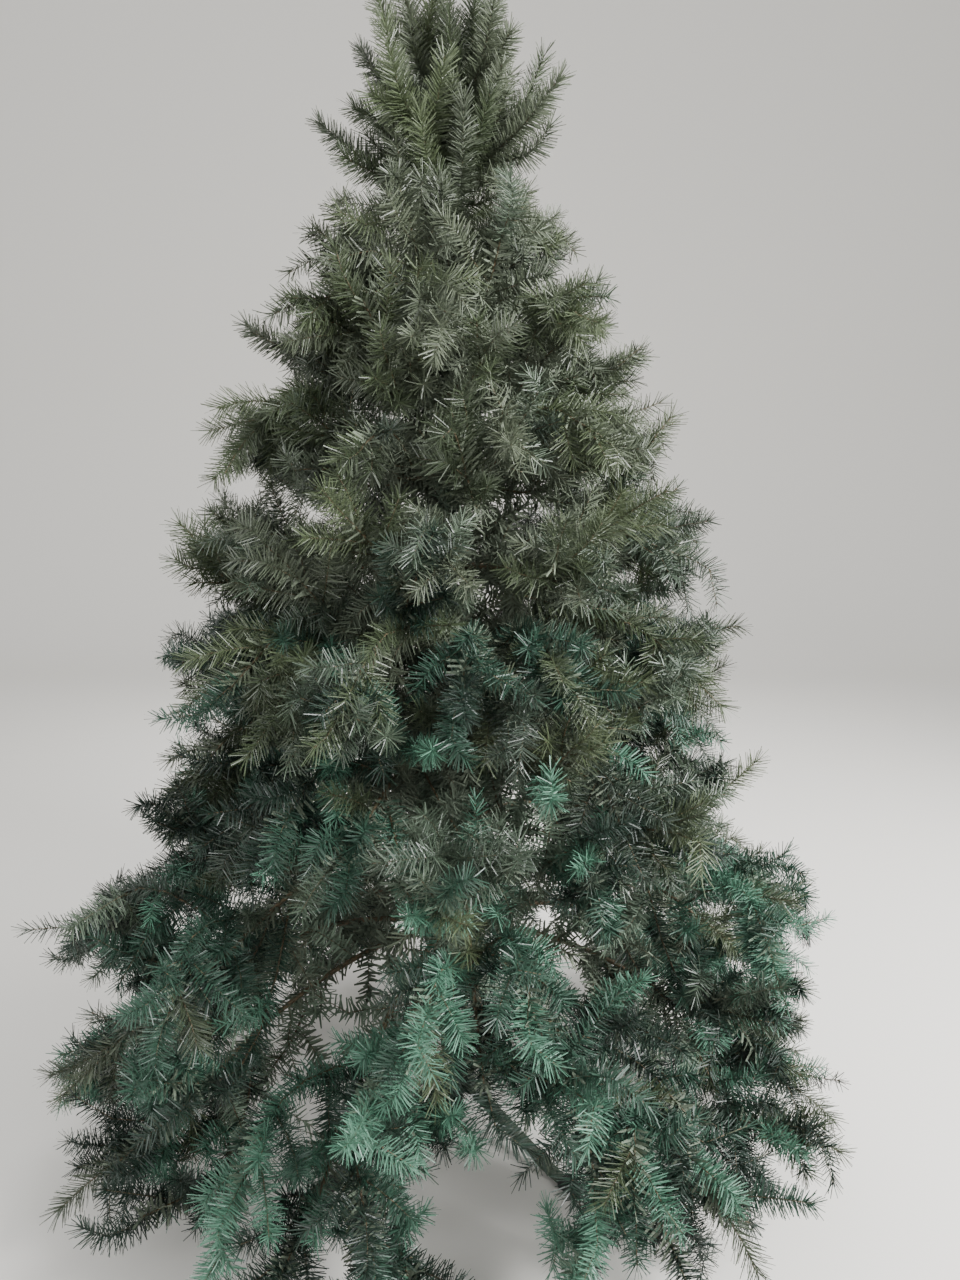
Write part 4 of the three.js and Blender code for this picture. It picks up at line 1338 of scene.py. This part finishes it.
class TREE_OT_pole(bpy.types.Operator):
    """Make the pole: three tubes with sleeves over their joints, and the collars with their hooks"""

    bl_idname = "christmas_tree.pole"
    bl_label = "Pole and collars"

    def execute(self, context):
        paint = enamel(*POLE_ENAMEL)
        add_piece("pole_tubes", turned(self.profile()), (paint,), ("pole",))
        add_piece("collar_brackets", joined(self.brackets()), (paint,), ())
        add_piece("bough_pins", joined(self.pins()), (plated_steel(),), ())
        return {"FINISHED"}

    def profile(self):
        """Radius and height pairs of the tubes, with a swaged step and a crimped ring at each
        sleeve's end, and rounded rims on the collars."""

        def radius_at(height):
            return POLE_RADII[sum(height > joint for joint in POLE_JOINTS)]

        foot = HUB_FLOOR + GAP
        points = [(0, foot), (POLE_RADII[0], foot)]
        rings = [(tier.hook, COLLAR_RADIUS, COLLAR_HEIGHT) for tier in TIERS]
        rings += [(joint, SLEEVE_RADIUS, SLEEVE_HEIGHT) for joint in POLE_JOINTS]
        for middle, radius, tall in sorted(rings):
            low, high = middle - tall / 2, middle + tall / 2
            middles, detail = [middle], COLLAR_WAIST
            if radius == SLEEVE_RADIUS:
                middles, detail = [low + GROOVE_INSET, high - GROOVE_INSET], SLEEVE_GROOVE
            points += [(radius_at(low), low), (radius, low)]
            points += [(radius + off, at + rise) for at in middles for rise, off in detail]
            points += [(radius, high), (radius_at(high), high)]
        points += [(POLE_RADII[-1], POLE_TOP), (0, POLE_TOP)]
        return rounded(points, POLE_BEVEL)

    def limbs(self):
        """Heading and hook height of every limb."""
        return [(heading, tier.hook) for tier in TIERS for heading in tier.headings]

    def brackets(self):
        """Two cheeks of bent plate for each limb, standing out from the collar round its root."""
        for heading, height in self.limbs():
            path = [(COLLAR_RADIUS + step, height) for step in BRACKET_STEPS]
            thickness = np.full(len(path), BRACKET_THICKNESS)
            cheek = swept_bar(path, thickness, BRACKET_HEIGHTS, BRACKET_CORNER, arc=2)
            for off in (-BRACKET_OFFSET, BRACKET_OFFSET):
                beside = reshaped(cheek, lambda x, y, z: (x, y + off, z))
                yield turned_about_z(beside, heading - QUARTER)

    def pins(self):
        """A pin through each pair of cheeks, with a rounded head at both ends."""
        profile = [(radius, -z) for radius, z in reversed(PIN_HALF)] + list(PIN_HALF)
        pin = turned(rounded(profile, PIN_BEVEL, steps=2), PIN_SIDES)
        off, rise = PIN_PLACE
        for heading, height in self.limbs():
            lying = reshaped(pin, lambda x, y, z: (x + COLLAR_RADIUS + off, -z, y + height + rise))
            yield turned_about_z(lying, heading - QUARTER)


class TREE_OT_stand(bpy.types.Operator):
    """Make the stand: hub with its thumb screws, four legs and their rubber feet"""

    bl_idname = "christmas_tree.stand"
    bl_label = "Stand"

    def execute(self, context):
        paint = enamel(*STAND_ENAMEL)
        hub, legs = ("stand_hub",), nodes_named("stand_leg")
        screws = repeated(self.screw(), SCREW_COUNT)
        bars = repeated(self.leg(), LEG_COUNT, LEG_TURN)
        feet = repeated(self.foot(), LEG_COUNT, LEG_TURN)
        add_piece("stand_cup", self.cup(), (paint,), hub)
        add_piece("thumb_screws", screws, (plated_steel(),), hub)
        add_piece("stand_legs", bars, (paint,), legs)
        add_piece("stand_feet", feet, (rubber(),), legs)
        return {"FINISHED"}

    def cup(self):
        """The cup that the pole drops into, with a rolled rim above and a flange on the floor."""
        bore = POLE_RADII[0] + HUB_BORE_SLACK
        lip = HUB_RADIUS + LIP_THICKNESS
        under, edge = (HUB_HEIGHT - depth for depth in LIP_HEIGHTS)
        points = [
            (0, 0), (HUB_RIM_RADIUS, 0), (HUB_RIM_RADIUS, HUB_RIM_HEIGHT),
            (HUB_RADIUS, HUB_RIM_HEIGHT + CUP_FILLET), (HUB_RADIUS, under), (lip, edge),
            (lip, HUB_HEIGHT), (bore, HUB_HEIGHT), (bore, HUB_FLOOR), (0, HUB_FLOOR),
        ]
        return turned(rounded(points, CUP_BEVEL))

    def screw(self):
        """A screw with a threaded shank, a nut against the cup and a fluted knob, whose radius dips
        by the cosine of its flutes times the angle."""
        inner = POLE_RADII[0] + HUB_BORE_SLACK + SCREW_INSET
        threads = np.arange(0, SCREW_LENGTH, THREAD_PITCH)
        roots = np.stack([np.full(len(threads), SCREW_RADIUS - THREAD_DEPTH), threads], axis=1)
        crests = np.stack([np.full(len(threads), SCREW_RADIUS), threads + THREAD_PITCH / 2], axis=1)
        turns = np.stack([roots, crests], axis=1).reshape(-1, 2)
        shank = turned([(0, 0), *turns, (SCREW_RADIUS, SCREW_LENGTH), (0, SCREW_LENGTH)], SCREW_SIDES)
        start = HUB_RADIUS - inner - 1
        nut = self.disc(NUT_RADIUS, start, start + NUT_THICKNESS, NUT_BEVEL, 2, NUT_SIDES)
        low, high = (SCREW_LENGTH + half * KNOB_THICKNESS for half in (-0.5, 0.5))
        knob = self.disc(KNOB_RADIUS, low, high, KNOB_BEVEL, 3, KNOB_SIDES)

        def fluted(x, y, z):
            radius, angle = np.hypot(x, y), np.arctan2(y, x)
            swell = (1 + np.cos(KNOB_FLUTES * angle)) * (radius > FLUTED_FROM * KNOB_RADIUS)
            return x * (1 - FLUTE_DEPTH * swell), y * (1 - FLUTE_DEPTH * swell), z

        screw = joined([shank, nut, reshaped(knob, fluted)])
        return reshaped(screw, lambda x, y, z: (inner + z, y, SCREW_HEIGHT - x))

    def disc(self, radius, low, high, bevel, steps, sides):
        """A turned disc with rounded rims."""
        return turned(rounded([(0, low), (radius, low), (radius, high), (0, high)], bevel, steps), sides)

    def leg(self):
        """A leg of bent bar: a root plate on the hub, a slope down and a foot flat on the floor."""
        start = sided_reach(HUB_RADIUS, LEG_TURN) + GAP
        middle = LEG_TOP - LEG_ROOT_DEPTH / 2
        neck = np.array([start + LEG_NECK, middle]) + LEG_NECK_BEND
        ankle = np.array([LEG_REACH - FOOT_LENGTH, LEG_DEPTH / 2]) + LEG_FOOT_BEND
        bends = [Bend(*corners).at(np.linspace(0, 1, BEND_POINTS)) for corners in (neck, ankle)]
        line = np.concatenate([[(start, middle)], *bends])
        depths = np.interp(np.linspace(0, 1, len(line)), LEG_STATIONS, LEG_DEPTHS)
        return swept_bar(line, np.full(len(line), LEG_BAR_WIDTH), depths, LEG_CORNER)

    def foot(self):
        """A moulded cap over a leg's end, whose width falls off to its back and toe as the root of
        one less the fifth power of the way from its middle."""
        x = np.linspace(-1, 1, FOOT_STATIONS)
        middle = LEG_REACH - FOOT_LENGTH / 2 + FOOT_OVERHANG
        heights = np.full(len(x), FOOT_HEIGHT)
        path = np.stack([middle + x * FOOT_LENGTH / 2, heights / 2], axis=1)
        dome = np.sqrt(np.maximum(0, 1 - np.abs(x) ** TOE_POWER))
        return swept_bar(path, FOOT_WIDTH * mix(TOE_SHARE, 1, dome), heights, FOOT_CORNER)


class TREE_OT_boughs(bpy.types.Operator):
    """Make the boughs, the stems inside the masses and the twigs, wound with plastic strip"""

    bl_idname = "christmas_tree.boughs"
    bl_label = "Boughs and twigs"

    def execute(self, context):
        masses, (leader_stem, _) = grown_tree()
        limbs = [mass.limb.stretch(0, mass.limb_share) for mass in masses if mass.limb_share > 0]
        stems = [wound_limb(mass.stem, STEM_RADII, *STEM_MESH) for mass in masses]
        stems.append(wound_limb(leader_stem, LEADER_STEM_RADII, *STEM_MESH))
        rows = [row for row in needled_tree() if row.radii]
        twigs = [row for row in rows if row.radii == TWIG_RADII]
        tips = [row for row in rows if row.radii == TIP_RADII]
        for name, part, replaced in (
            ("boughs", joined(wound_limb(limb, BOUGH_RADII, *BOUGH_MESH) for limb in limbs), "bough_"),
            ("stems", joined(stems), "mass_"),
            ("twigs", self.wires(twigs, *TWIG_MESH), "mass_"),
            ("tip_wires", self.wires(tips, *TIP_MESH), "mass_"),
        ):
            add_piece(name, part, (wound_strip(),), nodes_named(replaced))
        return {"FINISHED"}

    def wires(self, rows, steps, sides):
        """Thin tubes along the rows' curves."""
        t = np.tile(np.linspace(0, 1, steps), (len(rows), 1))
        points, tangents = along_curves(*curve_arrays(rows)[:, :, None], t)
        ends = np.array([row.radii for row in rows])
        cross = np.where(np.abs(tangents[:, :1, 2]) < STEEP, UP, LEVEL)
        return tube_arrays(points, mix(ends[:, :1], ends[:, 1:], t), sides, cross)


class TREE_OT_needles(bpy.types.Operator):
    """Make the needles of every tip, twig and stem, joined by kind and by height on the tree"""

    bl_idname = "christmas_tree.needles"
    bl_label = "Needles"

    most_quads: bpy.props.IntProperty(
        name="Largest piece", description="Most needles in one piece", default=96000, min=1000
    )

    def execute(self, context):
        sizes = context.scene.tree_needles
        rows = needled_tree()
        corners, row_of = needle_corners(rows, sizes, FILL_SEED)
        kinds = np.array(["grey_green" if row.kind == "wound" else row.kind for row in rows])
        glossy = np.array([row.share > MATTE_SHARE for row in rows])
        shades = np.array([row.shade for row in rows])
        heights = np.array([row.curve.first[2] for row in rows])
        order = np.argsort(heights[row_of], kind="stable")
        masses = nodes_named("mass_")
        for kind in NEEDLE_ROUGHNESS:
            for place, shines in (("", True), ("inner_", False)):
                chosen = order[((kinds == kind) & (glossy == shines))[row_of[order]]]
                materials = [needle_material(kind, shade, shines) for shade in range(len(SHADES))]
                pieces = math.ceil(len(chosen) / self.most_quads)
                for i, part in enumerate(np.array_split(chosen, pieces)):
                    name = f"needles_{place}{kind}_{i + 1}"
                    arrays = (corners[part].reshape(-1, 3), np.arange(4 * len(part)).reshape(-1, 4), ())
                    add_piece(name, arrays, materials, masses, shades[row_of[part]])
        return {"FINISHED"}


class TREE_OT_stage(bpy.types.Operator):
    """Make the floor, the soft lights and the camera"""

    bl_idname = "christmas_tree.stage"
    bl_label = "Floor, lights and camera"

    def execute(self, context):
        stage = context.scene.tree_stage
        self.floor(stage)
        for name, power, place, size in LIGHTS:
            self.light(context, name, getattr(stage, power), place, size)
        self.sky(context, stage)
        self.camera(context, stage)
        return {"FINISHED"}

    def sky(self, context, stage):
        """An even light from all sides."""
        world = bpy.data.worlds.new("Even light")
        world.use_nodes = True
        background = world.node_tree.nodes["Background"]
        background.inputs["Color"].default_value = SKY_TINT
        background.inputs["Strength"].default_value = stage.sky
        context.scene.world = world

    def camera(self, context, stage):
        """The camera in front of the tree, upright and looking down by its pitch."""
        data = bpy.data.cameras.new("Camera")
        data.sensor_width = SENSOR_WIDTH
        data.lens = stage.lens
        camera = bpy.data.objects.new("Camera", data)
        camera.location = (stage.eye_x, stage.eye_y, stage.eye_z)
        camera.rotation_euler = (math.pi / 2 - stage.pitch, 0, 0)
        context.scene.collection.objects.link(camera)
        bpy.context.scene.camera = camera

    def floor(self, stage):
        """A floor that turns up into a backdrop: flat to a line behind the tree, a quarter circle,
        then upright."""
        turn = np.linspace(0, math.pi / 2, BACKDROP_POINTS)
        wall = FLOOR_BACK + BACKDROP_CURVE
        y = np.concatenate([[FLOOR_FRONT], FLOOR_BACK + BACKDROP_CURVE * np.sin(turn), [wall]])
        z = np.concatenate([[0], BACKDROP_CURVE * (1 - np.cos(turn)), [BACKDROP_HEIGHT]])
        grid = np.stack(np.broadcast_arrays(np.array(FLOOR_SIDES), y[:, None], z[:, None]), axis=-1)
        place = np.arange(grid[..., 0].size).reshape(grid.shape[:2])
        quads = np.stack([place[:-1, :-1], place[:-1, 1:], place[1:, 1:], place[1:, :-1]], axis=-1)
        floor = fill_mesh("floor", grid.reshape(-1, 3), quads.reshape(-1, 4))
        floor.data.materials.append(plain_material("Floor", stage.floor, FLOOR_ROUGHNESS)[0])

    def light(self, context, name, power, place, size):
        """A square area light that faces the middle of the tree."""
        data = bpy.data.lights.new(name, "AREA")
        data.energy = power
        data.size = size
        lamp = bpy.data.objects.new(name, data)
        x, y, z = np.array(LIGHT_AIM) - np.array(place)
        lamp.location = place
        lamp.rotation_euler = (math.atan2(math.hypot(x, y), -z), 0, math.atan2(x, -y) + math.pi)
        context.scene.collection.objects.link(lamp)


class TREE_PT_panel(bpy.types.Panel):
    """The tree's pieces and settings in the 3D view's sidebar"""

    bl_label = "Christmas tree"
    bl_idname = "TREE_PT_panel"
    bl_space_type = "VIEW_3D"
    bl_region_type = "UI"
    bl_category = "Christmas tree"

    def draw(self, context):
        for operator in OPERATORS:
            self.layout.operator(operator.bl_idname)
        scene = context.scene
        for settings in (scene.tree_needles, scene.tree_colours, scene.tree_stage):
            box = self.layout.box()
            for name in settings.bl_rna.properties.keys():
                if name not in ("rna_type", "name"):
                    box.prop(settings, name)


SETTINGS = {
    "tree_needles": NeedleSettings,
    "tree_colours": ColourSettings,
    "tree_stage": StageSettings,
}
OPERATORS = (TREE_OT_stage, TREE_OT_pole, TREE_OT_stand, TREE_OT_boughs, TREE_OT_needles)


def register():
    """Register the classes and hang the settings on the scene."""
    for kind in (*SETTINGS.values(), *OPERATORS, TREE_PT_panel):
        bpy.utils.register_class(kind)
    for name, kind in SETTINGS.items():
        setattr(bpy.types.Scene, name, bpy.props.PointerProperty(type=kind))


def unregister():
    """Take the settings off the scene and unregister the classes."""
    for name in SETTINGS:
        delattr(bpy.types.Scene, name)
    for kind in reversed((*SETTINGS.values(), *OPERATORS, TREE_PT_panel)):
        bpy.utils.unregister_class(kind)


def main():
    """Make the whole tree and its stage."""
    register()
    bpy.ops.christmas_tree.stage()
    bpy.ops.christmas_tree.pole()
    bpy.ops.christmas_tree.stand()
    bpy.ops.christmas_tree.boughs()
    bpy.ops.christmas_tree.needles()


if __name__ == "__main__":
    main()
